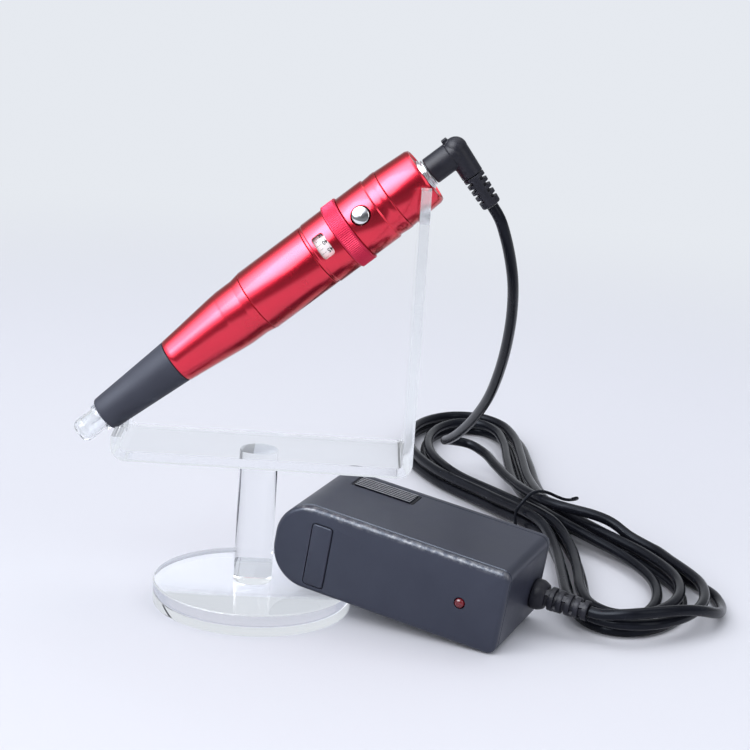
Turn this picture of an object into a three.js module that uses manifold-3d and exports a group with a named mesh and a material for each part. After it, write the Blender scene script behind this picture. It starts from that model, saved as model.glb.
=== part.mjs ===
// Permanent makeup pen on its clear stand, with its mains adapter and the tied hank of cord between them.
// Millimetres, +Z up. The origin is the centre of the stand's round foot, on the table.
import * as THREE from 'three';
import { mergeVertices } from 'three/addons/utils/BufferGeometryUtils.js';
import Module from 'manifold-3d';

const wasm = await Module();
wasm.setup();

// Clearances, cuts and facets
const seatGap = 0.3; // between pieces that rest on or in each other
const runGap = 0.35; // round a piece that moves
const overrun = 2; // how far a cutter runs past a face
const mergeDistance = 1e-4;
const shellSides = 30;
const innerSides = 16;
const degree = Math.PI / 180;

// Clear stand
const foot = { radius: 30.5, thickness: 6.86, chamfer: 0.5, sides: 48 };
const post = { radius: 5.86, sides: 24 };
const cradle = {
  sheet: 3, top: 50, left: -43.2, right: 46.2, front: -15.7, back: 15.3, bendRadius: 4.5,
  lipAboveSeat: 5.9, uprightAboveSeat: 11.6, frontNotch: 6.3, rearNotch: 10.3, seatClearance: 0.62,
  bendSegments: 5,
};

// Pen, along its own +Z from the rim of the nose
const penPlace = { overhang: 3.93, noseHeight: 56.592, tilt: 40.75 * degree };
const nose = {
  rim: 5.13, lip: 5.4, lipLength: 0.6, stepStation: 6, step: 5.72, gripStation: 22.9, grip: 6.75,
  length: 27.5, rear: 7.04, wall: 1.25, spigot: 5.5, spigotLength: 5.5, mouthDepth: 8,
};
const sleeve = {
  start: 27.8, radius: 7.15, waistStation: 33.4, waist: 7.7, swellStation: 42.6, swell: 8.7,
  fullStation: 49.5, full: 9.38, shoulderStation: 55.3, shoulder: 9.85, end: 58.1, wall: 1.25,
};
const barrel = { radius: 10, end: 81.1, wall: 1.6, spigotLength: 5, edge: 0.25 };
const collar = { stepSetback: 0.7, radius: 10.2, length: 8.4, wall: 1.3, edge: 0.25 };
const windowCut = {
  setback: 1.9, length: 4, halfAngle: 21.5 * degree, centreAngle: 15 * degree, corner: 0.9, segments: 3,
};
const drum = { wall: 1.6 };
const ring = { length: 4.75, radius: 10.75, teeth: 72, toothDepth: 0.25 };
const housing = {
  length: 13.9, radius: 10.15, wall: 1.7, frontWall: 0.7, edge: 0.3,
  grooveFromEnd: 4.75, grooveDip: 0.45, grooveRamp: 0.45, rimFromEnd: 1.55, rimDip: 0.2,
};
const button = {
  setback: 4.3, turn: 18.6 * degree, radius: 2.6, crown: 10.9, domeHeight: 0.65, flangeRadius: 3.3,
  flangeHeight: 0.4, flangeBase: 6.95, clearance: 0.35, shoulderShare: 0.81, riseShare: 0.67, sides: 24,
};
const cap = {
  length: 11.45, front: 9.8, rear: 9.2, end: 8.75, endChamfer: 1, wall: 1.3, spigotLength: 4.8, endWall: 2,
};
const plate = { radius: 5, proud: 1.4, thickness: 3, hole: 3.1, edge: 0.3 };

// Works inside the pen
const needle = { radius: 0.3, reach: 5.2, tipLength: 1.6, sides: 8 };
const hub = { radius: 2.3, length: 7, start: 5.4, boreDepth: 2.5 };
const bar = {
  radius: 1.4, flange: 3, flangeThickness: 1.5, springSeat: 30.9, follower: 3.1, followerThickness: 1.4,
};
const needleStroke = 2.5;
const guide = { length: 6, front: 17.5 };
const spring = { wall: 0.8 };
const motor = { radius: 6, standOff: 1.8, wall: 0.7, frontHole: 1.3 };
const shaft = { radius: 0.75, sides: 12 };
const rotor = { radius: 4.6, endRoom: 1.6 };
const cam = { radius: 4.4, length: 5.6, standOff: 2.4, rise: 2.4, sides: 24 };
const bearing = { radius: 3, length: 1.8 };
const core = { radius: 6.6, wall: 0.9 };
const circuit = { width: 9.6, thickness: 1.2, underside: 3.2, setback: 1.5 };
const tactSwitch = { size: 5, height: 1.1, plunger: 1, plungerHeight: 0.35 };
const socket = { radius: 4, length: 9, bore: 3.1, pin: 1, pinShort: 1.2, floor: 1.2 };

// Clear needle cap
const tip = {
  radius: 3.7, wall: 0.75, outside: 9.8, inside: 5.2, collar: 4.45, collarLength: 1.5, mouth: 1.3, round: 1.7,
  sides: 24,
};

// Angled plug behind the pen
const plug = {
  barrel: 2.75, bore: 1.35, barrelDepth: 6.5, neck: 4.2, neckLength: 7.6, elbowRise: 9.97,
  elbowSide: -0.98, elbow: 3.55, legTilt: 94.16 * degree, legLength: 19.8, legTop: 3.45, legStraight: 9.2,
  nub: 1, nubReach: 5.35, nubBack: 1.3, nubSides: 10, sides: 20, ballSides: 18, ballRings: 12,
};
const plugRibs = { start: 9.5, radius: 3.3, endRadius: 2.9, count: 5, grooveShare: 0.75, ribShare: 0.5 };

// Mains adapter: x runs to its right end, y to its back, z up from its underside.
// Its left end stands close to the post and its underside leans on the rim of the foot.
const adapter = {
  postGap: 0.32, restGap: 0.2, sideStep: -3.045, lift: -0.33, yaw: -22.344 * degree, lean: 2.524 * degree,
  length: 75, height: 26.67, depth: 37.8, leftRound: 11.5, rightRound: 3, bevel: 1.5, wall: 2, rearCover: 3,
  arcSegments: 5, bevelSegments: 2, settlingSteps: 8,
};
const led = { fromRight: 13.5, height: 13, radius: 1.5, length: 6, dome: 0.9, domeShare: 0.71 };
const panel = { fromLeft: 11.6, width: 7.1, bottom: 1.9, height: 20.4, pocket: 0.9, thickness: 1 };
const vent = {
  fromLeft: 11.7, width: 21.3, seamMargin: 1, depth: 8.2, pocket: 0.8, base: 0.45, ribs: 6, ribShare: 0.55,
  ribHeight: 0.45, sinkShare: 0.5,
};
const relief = {
  fromBack: 8.4, height: 10.4, flange: 4.4, flangeThickness: 1.1, neck: 3, collar: 4.75, collarLength: 4.6,
  ribs: 5, rib: 3.7, lastRib: 3.1, groove: 0.9, length: 18, ribShare: 0.6,
};
const blade = { width: 6.3, thickness: 1.5, length: 17, rooted: 4, pitch: 12.7, fromLeft: 20 };
const board = { margin: 4, thickness: 1.6, front: 5.5, seamMargin: 2.3 };
const transformer = { length: 21, sideMargin: 4, height: 15, fromRight: 44 };
const capacitor = { radius: 5, height: 15, fromRight: 22, setback: 17.8 };

// Cord
const cord = { diameter: 3.5, sides: 8, stepLength: 9 };
// Offsets from the straight line between a stretch's two ends: from the plug to the hank's upper end
const dropOffsets = [
  [0.21, 0, -0.31], [-0.15, -1.94, 1.18], [-0.91, -2.39, 1.27], [-1.27, 0.17, -1.24],
  [-1.73, 5.22, -6.15], [-3.09, 14.28, -12.96], [-5.45, 24.34, -19.97], [-8.61, 36.39, -27.78],
  [-12.86, 52.45, -37.39], [-18.52, 72.5, -46.7], [-24.68, 90.56, -53.21], [-30.24, 105.62, -56.33],
  [-34.3, 114.67, -55.64], [-34.96, 122.33, -53.55], [-30.32, 123.18, -50.46], [-27.28, 113.24, -46.67],
  [-26.34, 97.4, -42.28], [-25, 78.95, -37.39], [-23.06, 60.51, -31.7], [-18.52, 43.07, -25.91],
  [-13.58, 35.02, -21.32], [-9.04, 30.58, -17.33], [-5.3, 26.43, -14.34], [-2.66, 20.49, -12.45],
  [-0.22, 13.25, -8.96], [0.92, 6.1, -4.62], [-0.24, 0.56, 0.01],
];
// And from the adapter's strain relief to the hank's lower end
const leadOffsets = [
  [0.32, -0.13, -0.05], [0.6, -5.44, 0.11], [1.23, -11.3, 1.35], [3.36, -16.48, 2.63],
  [6.4, -19.86, 3.62], [10.43, -21.44, 4.1], [14.16, -22.41, 4.19], [18.1, -21.99, 3.17],
  [21.23, -18.77, 0.56], [21.96, -14.05, -1.46], [20.7, -9.72, -1.97], [17.43, -5.9, -1.49],
  [11.66, -2.08, -1], [5.19, 0.34, -0.52], [0.28, -0.53, -0.04],
];
const hank = {
  centreX: 97, centreY: 84, turn: 101.5 * degree, farReach: 137, nearReach: 103, farReachStep: 10,
  nearReachStep: 8, farBulge: 50, nearBulge: 46, bulgeStep: 11.2, farBow: -9.5, nearBow: 10, waist: 9.4,
  waistStep: 4.5, layerRise: 4.05, clearFloor: 0.1, waistLift: 2.3, liftReach: 24,
  startAngle: 115 * degree, spiralTurns: 1.75, climbTurns: 0.5, sides: 6, loopSteps: 24,
  reversalShare: 0.25, waistSoftnessShare: 0.16, lobeBlendShare: 0.12, sampleLength: 1,
  neighbourLength: 14,
};
const tie = { diameter: 1.1, sides: 6, steps: 46 };
const tieRoute = [
  [-1.3, 9, 10], [-1.3, 13.2, 6.4], [-1.2, 14.6, 3.4], [-0.9, 13.1, 0.9], [-0.6, 8, 0.62],
  [-0.3, 0, 0.62], [0.2, -7.4, 0.62], [0.3, -10.4, 1.6], [0.3, -11.4, 4.6], [0.3, -11.2, 8.4],
  [0.3, -9.1, 11.6], [0.4, -6.3, 14.8], [0.5, -3.6, 16], [0.8, -0.2, 15.4], [1.2, 4.4, 13],
  [1.4, 8.6, 11.9], [1, 11.9, 12.4], [-0.6, 13.4, 13.7], [-2.4, 11.8, 14.9], [-2.9, 9.4, 14.4],
];

// Finishes
const finish = (color, roughness, metalness = 0, opacity = 1) => new THREE.MeshStandardMaterial({
  color, roughness, metalness, opacity, transparent: opacity < 1,
});
const clearAcrylic = finish('#e9eef2', 0.06, 0, 0.3);
const clearPlastic = finish('#dfe4e8', 0.15, 0, 0.45);
const redAnodised = finish('#b3122e', 0.28, 0.85);
const gripRubber = finish('#1b1c1f', 0.6);
const blackCable = finish('#17181b', 0.45);
const blackMoulding = finish('#232427', 0.55);
const chrome = finish('#d9dbde', 0.12, 1);
const steel = finish('#a9adb2', 0.3, 1);
const brass = finish('#b7924a', 0.35, 1);
const whiteDial = finish('#e8e9ea', 0.5);
const redLens = finish('#6d1119', 0.2);
const boardGreen = finish('#1f5a36', 0.6);
const darkPart = finish('#2b2d33', 0.5);

const part = new THREE.Group();

const piece = (group, name, geometry, material) => {
  const mesh = new THREE.Mesh(geometry, material);
  mesh.name = name;
  group.add(mesh);
  return mesh;
};

// One closed skin: shared corners merged, slivers of no width dropped
const closed = (geometry) => {
  const bare = geometry.clone();
  for (const name of Object.keys(bare.attributes)) {
    if (name !== 'position') bare.deleteAttribute(name);
  }
  const merged = mergeVertices(bare, mergeDistance);
  const corners = merged.index.array;
  const kept = [];
  for (let i = 0; i < corners.length; i += 3) {
    const [a, b, c] = [corners[i], corners[i + 1], corners[i + 2]];
    if (a !== b && b !== c && c !== a) kept.push(a, b, c);
  }
  merged.setIndex(kept);
  return merged;
};

const toSolid = (geometry) => {
  const skin = closed(geometry);
  return new wasm.Manifold(new wasm.Mesh({
    numProp: 3,
    vertProperties: new Float32Array(skin.attributes.position.array),
    triVerts: new Uint32Array(skin.index.array),
  }));
};

const toGeometry = (solid) => {
  const mesh = solid.getMesh();
  const geometry = new THREE.BufferGeometry();
  geometry.setAttribute('position', new THREE.BufferAttribute(new Float32Array(mesh.vertProperties), 3));
  geometry.setIndex(Array.from(mesh.triVerts));
  geometry.computeVertexNormals();
  return geometry;
};

const cut = (geometry, ...cutters) => toGeometry(
  cutters.reduce((solid, cutter) => solid.subtract(toSolid(cutter)), toSolid(geometry)),
);

const join = (geometry, ...others) => toGeometry(
  others.reduce((solid, other) => solid.add(toSolid(other)), toSolid(geometry)),
);

const keep = (geometry, other) => toGeometry(toSolid(geometry).intersect(toSolid(other)));

// A turned piece about +Z from [radius, station] pairs, listed up its outside
const turned = (profile, sides = shellSides) => {
  const points = profile.map(([radius, station]) => new THREE.Vector2(radius, station));
  if (profile[0][0] > 0) points.push(points[0].clone());
  return closed(new THREE.LatheGeometry(points, sides).rotateX(Math.PI / 2));
};

const tubeRing = (outer, inner, start, end, sides = innerSides) => turned(
  [[outer, start], [outer, end], [inner, end], [inner, start]], sides,
);

const rod = (radius, start, end, sides = innerSides) => turned(
  [[0, start], [radius, start], [radius, end], [0, end]], sides,
);

// A block between two opposite corners
const block = ([x0, y0, z0], [x1, y1, z1]) => new THREE.BoxGeometry(x1 - x0, y1 - y0, z1 - z0)
  .translate((x0 + x1) / 2, (y0 + y1) / 2, (z0 + z1) / 2);

const polygon = (radius, sides) => new THREE.Shape(Array.from({ length: sides }, (_, i) => {
  const angle = (2 * Math.PI * i) / sides;
  return new THREE.Vector2(radius * Math.cos(angle), radius * Math.sin(angle));
}));

// A tube along a smooth line through hand-placed points
const tubeAlong = (points, diameter, sides, steps) => {
  const extrudePath = new THREE.CatmullRomCurve3(points);
  const section = polygon(diameter / 2, sides);
  return closed(new THREE.ExtrudeGeometry(section, { steps, extrudePath, bevelEnabled: false }));
};

const cordTube = (points) => {
  const length = new THREE.CatmullRomCurve3(points).getLength();
  return tubeAlong(points, cord.diameter, cord.sides, Math.round(length / cord.stepLength));
};

// Points of a stretch of cord held by its two ends
const routeBetween = (from, to, offsets) => offsets.map(
  (offset, i) => from.clone().lerp(to, i / (offsets.length - 1)).add(new THREE.Vector3(...offset)),
);

// Stand: where the pen's axis crosses the two ends of the cradle sets its notches
const noseX = cradle.left - penPlace.overhang;
const axisHeight = (x) => penPlace.noseHeight + (x - noseX) * Math.tan(penPlace.tilt);
const seatUnder = (x, radius) => axisHeight(x) - radius / Math.cos(penPlace.tilt) - cradle.seatClearance;
const frontSeat = seatUnder(cradle.left, nose.step);
const rearSeat = seatUnder(cradle.right - cradle.sheet, cap.rear);
const plateUnderside = cradle.top - cradle.sheet;

function makeStand() {
  const edge = foot.radius - foot.chamfer;
  const footProfile = [
    [0, 0], [edge, 0], [foot.radius, foot.chamfer], [foot.radius, foot.thickness - foot.chamfer],
    [edge, foot.thickness], [0, foot.thickness],
  ];
  piece(part, 'stand_foot', turned(footProfile, foot.sides), clearAcrylic);
  const postSolid = rod(post.radius, foot.thickness + seatGap, plateUnderside - seatGap, post.sides);
  piece(part, 'stand_post', postSolid, clearAcrylic);

  const lipTop = frontSeat + cradle.lipAboveSeat;
  const uprightTop = rearSeat + cradle.uprightAboveSeat;
  const bend = cradle.bendRadius;
  const inner = bend - cradle.sheet;
  const outline = new THREE.Shape();
  outline.moveTo(cradle.left, lipTop);
  outline.absarc(cradle.left + bend, plateUnderside + bend, bend, Math.PI, 1.5 * Math.PI);
  outline.absarc(cradle.right - bend, plateUnderside + bend, bend, 1.5 * Math.PI, 2 * Math.PI);
  outline.lineTo(cradle.right, uprightTop);
  outline.lineTo(cradle.right - cradle.sheet, uprightTop);
  outline.absarc(cradle.right - bend, plateUnderside + bend, inner, 2 * Math.PI, 1.5 * Math.PI, true);
  outline.absarc(cradle.left + bend, plateUnderside + bend, inner, 1.5 * Math.PI, Math.PI, true);
  outline.lineTo(cradle.left + cradle.sheet, lipTop);
  const sheet = new THREE.ExtrudeGeometry(outline, {
    depth: cradle.back - cradle.front, bevelEnabled: false, curveSegments: cradle.bendSegments,
  }).rotateX(Math.PI / 2).translate(0, cradle.back, 0);
  const notch = (x, seat, radius, top) => {
    const [from, to] = [x - overrun, x + cradle.sheet + overrun];
    const round = rod(radius, from, to, shellSides).rotateY(Math.PI / 2).translate(0, 0, seat + radius);
    const open = block([from, -radius, seat + radius], [to, radius, Math.max(top, seat + radius) + overrun]);
    return join(round, open);
  };
  const notches = [
    notch(cradle.left, frontSeat, cradle.frontNotch, lipTop),
    notch(cradle.right - cradle.sheet, rearSeat, cradle.rearNotch, uprightTop),
  ];
  piece(part, 'stand_cradle', cut(sheet, ...notches), clearAcrylic);
}

// Stations along the pen that later pieces share
const shoulderFoot = sleeve.end + seatGap;
const motorStart = shoulderFoot + motor.standOff;
const motorEnd = barrel.end - seatGap;
const camFront = motorStart - cam.standOff - cam.length;
const collarStart = barrel.end + seatGap;
const collarEnd = collarStart + collar.length;
const ringStart = collarEnd + seatGap;
const ringEnd = ringStart + ring.length;
const housingStart = ringEnd + seatGap;
const housingEnd = housingStart + housing.length;
const capStart = housingEnd + seatGap;
const capEnd = capStart + cap.length;
const plateEnd = capEnd + plate.proud;
const plateStart = plateEnd - plate.thickness;
const socketEnd = plateStart - seatGap;
const socketStart = socketEnd - socket.length;
const housingBore = housing.radius - housing.wall;
const noseBore = nose.spigot - nose.wall + seatGap;
const coreBore = core.radius + runGap;

// Turns a piece that points along +Z so that it points out of the pen's side at the button
const toButton = (geometry) => geometry.rotateX(Math.PI / 2).rotateZ(-button.turn)
  .translate(0, 0, housingStart + button.setback);

function makeHousings(pen) {
  const guideSeat = guide.front - seatGap;
  const noseProfile = [
    [nose.rim, 0], [nose.lip, nose.lipLength], [nose.step, nose.stepStation], [nose.grip, nose.gripStation],
    [nose.rear, nose.length], [nose.spigot, nose.length], [nose.spigot, nose.length + nose.spigotLength],
    [noseBore, nose.length + nose.spigotLength], [noseBore, guideSeat], [hub.radius + runGap, guideSeat],
    [hub.radius + runGap, nose.mouthDepth], [tip.radius + seatGap, nose.mouthDepth],
    [tip.radius + seatGap, 0],
  ];
  piece(pen, 'nose_grip', turned(noseProfile), gripRubber);

  const sleeveBore = sleeve.full - sleeve.wall;
  const barrelSpigot = sleeve.end - barrel.spigotLength;
  const sleeveProfile = [
    [sleeve.radius, sleeve.start], [sleeve.waist, sleeve.waistStation], [sleeve.swell, sleeve.swellStation],
    [sleeve.full, sleeve.fullStation], [sleeve.full, sleeve.shoulderStation], [sleeve.shoulder, sleeve.end],
    [sleeveBore, sleeve.end], [sleeveBore, barrelSpigot - seatGap],
    [nose.spigot + seatGap, sleeve.swellStation], [nose.spigot + seatGap, sleeve.start],
  ];
  piece(pen, 'front_sleeve', turned(sleeveProfile), redAnodised);

  const barrelBore = barrel.radius - barrel.wall;
  const spigot = sleeveBore - seatGap;
  const barrelProfile = [
    [spigot, barrelSpigot], [spigot, shoulderFoot], [barrel.radius - barrel.edge, shoulderFoot],
    [barrel.radius, shoulderFoot + barrel.edge], [barrel.radius, barrel.end - barrel.edge],
    [barrel.radius - barrel.edge, barrel.end],
    [barrelBore, barrel.end], [barrelBore, shoulderFoot],
    [spigot - barrel.wall, shoulderFoot - barrel.wall], [spigot - barrel.wall, barrelSpigot],
  ];
  piece(pen, 'barrel', turned(barrelProfile), redAnodised);

  const collarBore = collar.radius - collar.wall;
  const step = collarStart + collar.stepSetback;
  const collarProfile = [
    [barrel.radius, collarStart], [barrel.radius, step], [collar.radius, step + collar.edge],
    [collar.radius, collarEnd], [collarBore, collarEnd], [collarBore, collarStart],
  ];
  const halfWidth = collar.radius * Math.sin(windowCut.halfAngle);
  const rounded = new THREE.Shape();
  const low = collarStart + windowCut.setback;
  const high = low + windowCut.length;
  const { corner } = windowCut;
  rounded.absarc(halfWidth - corner, low + corner, corner, -Math.PI / 2, 0);
  rounded.absarc(halfWidth - corner, high - corner, corner, 0, Math.PI / 2);
  rounded.absarc(corner - halfWidth, high - corner, corner, Math.PI / 2, Math.PI);
  rounded.absarc(corner - halfWidth, low + corner, corner, Math.PI, 1.5 * Math.PI);
  const windowCutter = new THREE.ExtrudeGeometry(rounded, {
    depth: collar.radius, bevelEnabled: false, curveSegments: windowCut.segments,
  }).translate(0, 0, barrel.radius / 2).rotateX(Math.PI / 2).rotateZ(-windowCut.centreAngle);
  piece(pen, 'window_collar', cut(turned(collarProfile), windowCutter), redAnodised);

  const grooveStart = housingEnd - housing.grooveFromEnd;
  const dip = housing.radius - housing.grooveDip;
  const rim = housing.radius - housing.rimDip;
  const housingProfile = [
    [housing.radius - housing.edge, housingStart], [housing.radius, housingStart + housing.edge],
    [housing.radius, grooveStart], [dip, grooveStart + housing.grooveRamp],
    [rim, housingEnd - housing.rimFromEnd], [rim, housingEnd - housing.edge], [dip, housingEnd],
    [housingBore, housingEnd],
    [housingBore, housingStart + housing.frontWall], [coreBore, housingStart + housing.frontWall],
    [coreBore, housingStart],
  ];
  const holeRadius = button.radius + button.clearance;
  const buttonHole = rod(holeRadius, button.flangeBase, button.crown + overrun, shellSides);
  piece(pen, 'button_housing', cut(turned(housingProfile), toButton(buttonHole)), redAnodised);

  const capSpigot = housingBore - seatGap;
  const capBore = capSpigot - cap.wall;
  const capProfile = [
    [capSpigot, capStart - cap.spigotLength], [capSpigot, capStart], [cap.front, capStart],
    [cap.rear, capEnd - cap.endChamfer], [cap.end, capEnd], [plate.radius + seatGap, capEnd],
    [plate.radius + seatGap, capEnd - cap.endWall], [capBore, capEnd - cap.endWall],
    [capBore, capStart - cap.spigotLength],
  ];
  piece(pen, 'rear_cap', turned(capProfile), redAnodised);

  const plateProfile = [
    [plate.radius, plateStart], [plate.radius, plateEnd - plate.edge], [plate.radius - plate.edge, plateEnd],
    [plate.hole, plateEnd], [plate.hole, plateStart],
  ];
  piece(pen, 'end_plate', turned(plateProfile), steel);
}

function makeNeedleCap(pen) {
  const bore = tip.radius - tip.wall;
  const profile = [
    [tip.mouth, -tip.outside], [tip.radius - tip.round, -tip.outside], [tip.radius, tip.round - tip.outside],
    [tip.radius, -seatGap - tip.collarLength], [tip.collar, -seatGap - tip.collarLength],
    [tip.collar, -seatGap], [tip.radius, -seatGap], [tip.radius, tip.inside], [bore, tip.inside],
    [bore, tip.round - tip.outside + tip.wall], [tip.mouth, tip.wall - tip.outside],
  ];
  piece(pen, 'needle_cap', turned(profile, tip.sides), clearPlastic);
}

function makeNeedleDrive(pen) {
  const needleEnd = hub.start + hub.boreDepth - seatGap;
  const needleProfile = [
    [0, -needle.reach], [needle.radius, needle.tipLength - needle.reach], [needle.radius, needleEnd],
    [0, needleEnd],
  ];
  piece(pen, 'needle', turned(needleProfile, needle.sides), steel);

  const hubEnd = hub.start + hub.length;
  const hubProfile = [
    [hub.radius, hub.start], [hub.radius, hubEnd], [0, hubEnd], [0, hub.start + hub.boreDepth],
    [needle.radius + seatGap, hub.start + hub.boreDepth], [needle.radius + seatGap, hub.start],
  ];
  piece(pen, 'needle_hub', turnedCup(hubProfile), clearPlastic);

  const barEnd = camFront - cam.rise - runGap;
  const followerStart = barEnd - bar.followerThickness;
  const barProfile = [
    [0, hubEnd + seatGap], [bar.radius, hubEnd + seatGap], [bar.radius, bar.springSeat],
    [bar.flange, bar.springSeat], [bar.flange, bar.springSeat + bar.flangeThickness],
    [bar.radius, bar.springSeat + bar.flangeThickness], [bar.radius, followerStart],
    [bar.follower, followerStart], [bar.follower, barEnd], [0, barEnd],
  ];
  piece(pen, 'needle_bar', turned(barProfile), steel);

  const guideEnd = guide.front + guide.length;
  piece(pen, 'guide_bush', tubeRing(noseBore - seatGap, bar.radius + runGap, guide.front, guideEnd), brass);
  const springBore = bar.radius + runGap;
  const springStart = guideEnd + needleStroke + seatGap;
  const springSolid = tubeRing(springBore + spring.wall, springBore, springStart, bar.springSeat - seatGap);
  piece(pen, 'return_spring', springSolid, steel);
}

// A turned piece whose line starts off the axis and ends on the floor of its own bore
function turnedCup(profile) {
  const points = profile.map(([radius, station]) => new THREE.Vector2(radius, station));
  const onAxis = points.findIndex((point) => point.x === 0);
  const ordered = [...points.slice(onAxis + 1), ...points.slice(0, onAxis + 1)];
  return closed(new THREE.LatheGeometry(ordered, innerSides).rotateX(Math.PI / 2));
}

function makeMotor(pen) {
  const canBore = motor.radius - motor.wall;
  const front = motorStart + motor.wall;
  const canProfile = [
    [motor.radius, motorStart], [motor.radius, motorEnd], [canBore, motorEnd], [canBore, front],
    [motor.frontHole, front], [motor.frontHole, motorStart],
  ];
  piece(pen, 'motor_can', turned(canProfile, innerSides), steel);

  const barrelBore = barrel.radius - barrel.wall;
  const holder = tubeRing(barrelBore - seatGap, motor.radius + seatGap, motorStart, barrel.end);
  piece(pen, 'motor_holder', holder, blackMoulding);

  const bearingEnd = front + seatGap + bearing.length;
  const shaftBore = shaft.radius + runGap;
  piece(pen, 'motor_bearing', tubeRing(bearing.radius, shaftBore, front + seatGap, bearingEnd), brass);
  const rotorStart = bearingEnd + rotor.endRoom;
  const endCapThickness = bearing.length;
  const endCapStart = motorEnd - endCapThickness;
  const rotorEnd = endCapStart - rotor.endRoom;
  piece(pen, 'motor_rotor', tubeRing(rotor.radius, shaft.radius + seatGap, rotorStart, rotorEnd), brass);
  piece(pen, 'motor_shaft', rod(shaft.radius, camFront, motorEnd, shaft.sides), steel);
  piece(pen, 'motor_end_cap', tubeRing(canBore - seatGap, shaftBore, endCapStart, motorEnd), blackMoulding);

  const [camTip, camEnd] = [camFront - cam.rise, camFront + cam.length];
  const camSolid = tubeRing(cam.radius, shaft.radius + seatGap, camTip, camEnd, cam.sides);
  // The cutter's upper face runs through the cam's two ends of the slope
  const reach = cam.radius + overrun;
  const middle = camFront - cam.rise / 2;
  const climb = (cam.rise / 2) * (reach / cam.radius);
  const below = camTip - overrun;
  const slope = new THREE.Shape([
    new THREE.Vector2(-reach, below), new THREE.Vector2(reach, below),
    new THREE.Vector2(reach, middle + climb), new THREE.Vector2(-reach, middle - climb),
  ]);
  const slopeCutter = new THREE.ExtrudeGeometry(slope, { depth: reach + reach, bevelEnabled: false })
    .rotateX(Math.PI / 2).translate(0, reach, 0);
  piece(pen, 'drive_cam', cut(camSolid, slopeCutter), blackMoulding);
}

function makeAdjuster(pen) {
  const drumOuter = collar.radius - collar.wall - runGap;
  const drumStart = collarStart + seatGap;
  const drumSolid = tubeRing(drumOuter, drumOuter - drum.wall, drumStart, ringStart - seatGap, shellSides);
  piece(pen, 'scale_drum', drumSolid, whiteDial);

  const corners = Array.from({ length: 2 * ring.teeth }, (_, i) => {
    const angle = (Math.PI * i) / ring.teeth;
    const radius = i % 2 ? ring.radius - ring.toothDepth : ring.radius;
    return new THREE.Vector2(radius * Math.cos(angle), radius * Math.sin(angle));
  });
  const outline = new THREE.Shape(corners);
  outline.holes.push(new THREE.Path(polygon(coreBore, innerSides).getPoints().reverse()));
  const ringSolid = new THREE.ExtrudeGeometry(outline, { depth: ring.length, bevelEnabled: false });
  piece(pen, 'adjusting_ring', ringSolid.translate(0, 0, ringStart), redAnodised);

  const coreEnd = housingStart + housing.frontWall;
  piece(pen, 'core_tube', tubeRing(core.radius, core.radius - core.wall, collarStart, coreEnd), steel);
}

function makeSwitchGear(pen) {
  const headBase = button.flangeBase + button.flangeHeight;
  const buttonProfile = [
    [0, button.flangeBase], [button.flangeRadius, button.flangeBase], [button.flangeRadius, headBase],
    [button.radius, headBase], [button.radius, button.crown - button.domeHeight],
    [button.radius * button.shoulderShare, button.crown - button.domeHeight * (1 - button.riseShare)],
    [0, button.crown],
  ];
  piece(pen, 'power_button', toButton(turned(buttonProfile, button.sides)), chrome);

  const half = circuit.width / 2;
  const boardTop = circuit.underside + circuit.thickness;
  const boardSolid = block(
    [-half, -boardTop, housingStart + circuit.setback],
    [half, -circuit.underside, socketStart - seatGap],
  );
  piece(pen, 'circuit_board', boardSolid.rotateZ(-button.turn), boardGreen);

  const base = boardTop + seatGap;
  const side = tactSwitch.size / 2;
  const body = block([-side, -side, base], [side, side, base + tactSwitch.height]);
  const top = base + tactSwitch.height;
  const plunger = rod(tactSwitch.plunger, top - seatGap, top + tactSwitch.plungerHeight);
  piece(pen, 'push_switch', toButton(join(body, plunger)), darkPart);

  const floor = socketStart + socket.floor;
  const socketProfile = [
    [0, socketStart], [socket.radius, socketStart], [socket.radius, socketEnd], [socket.bore, socketEnd],
    [socket.bore, floor], [socket.pin, floor], [socket.pin, socketEnd - socket.pinShort],
    [0, socketEnd - socket.pinShort],
  ];
  piece(pen, 'dc_socket', turned(socketProfile, innerSides), darkPart);
}

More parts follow.
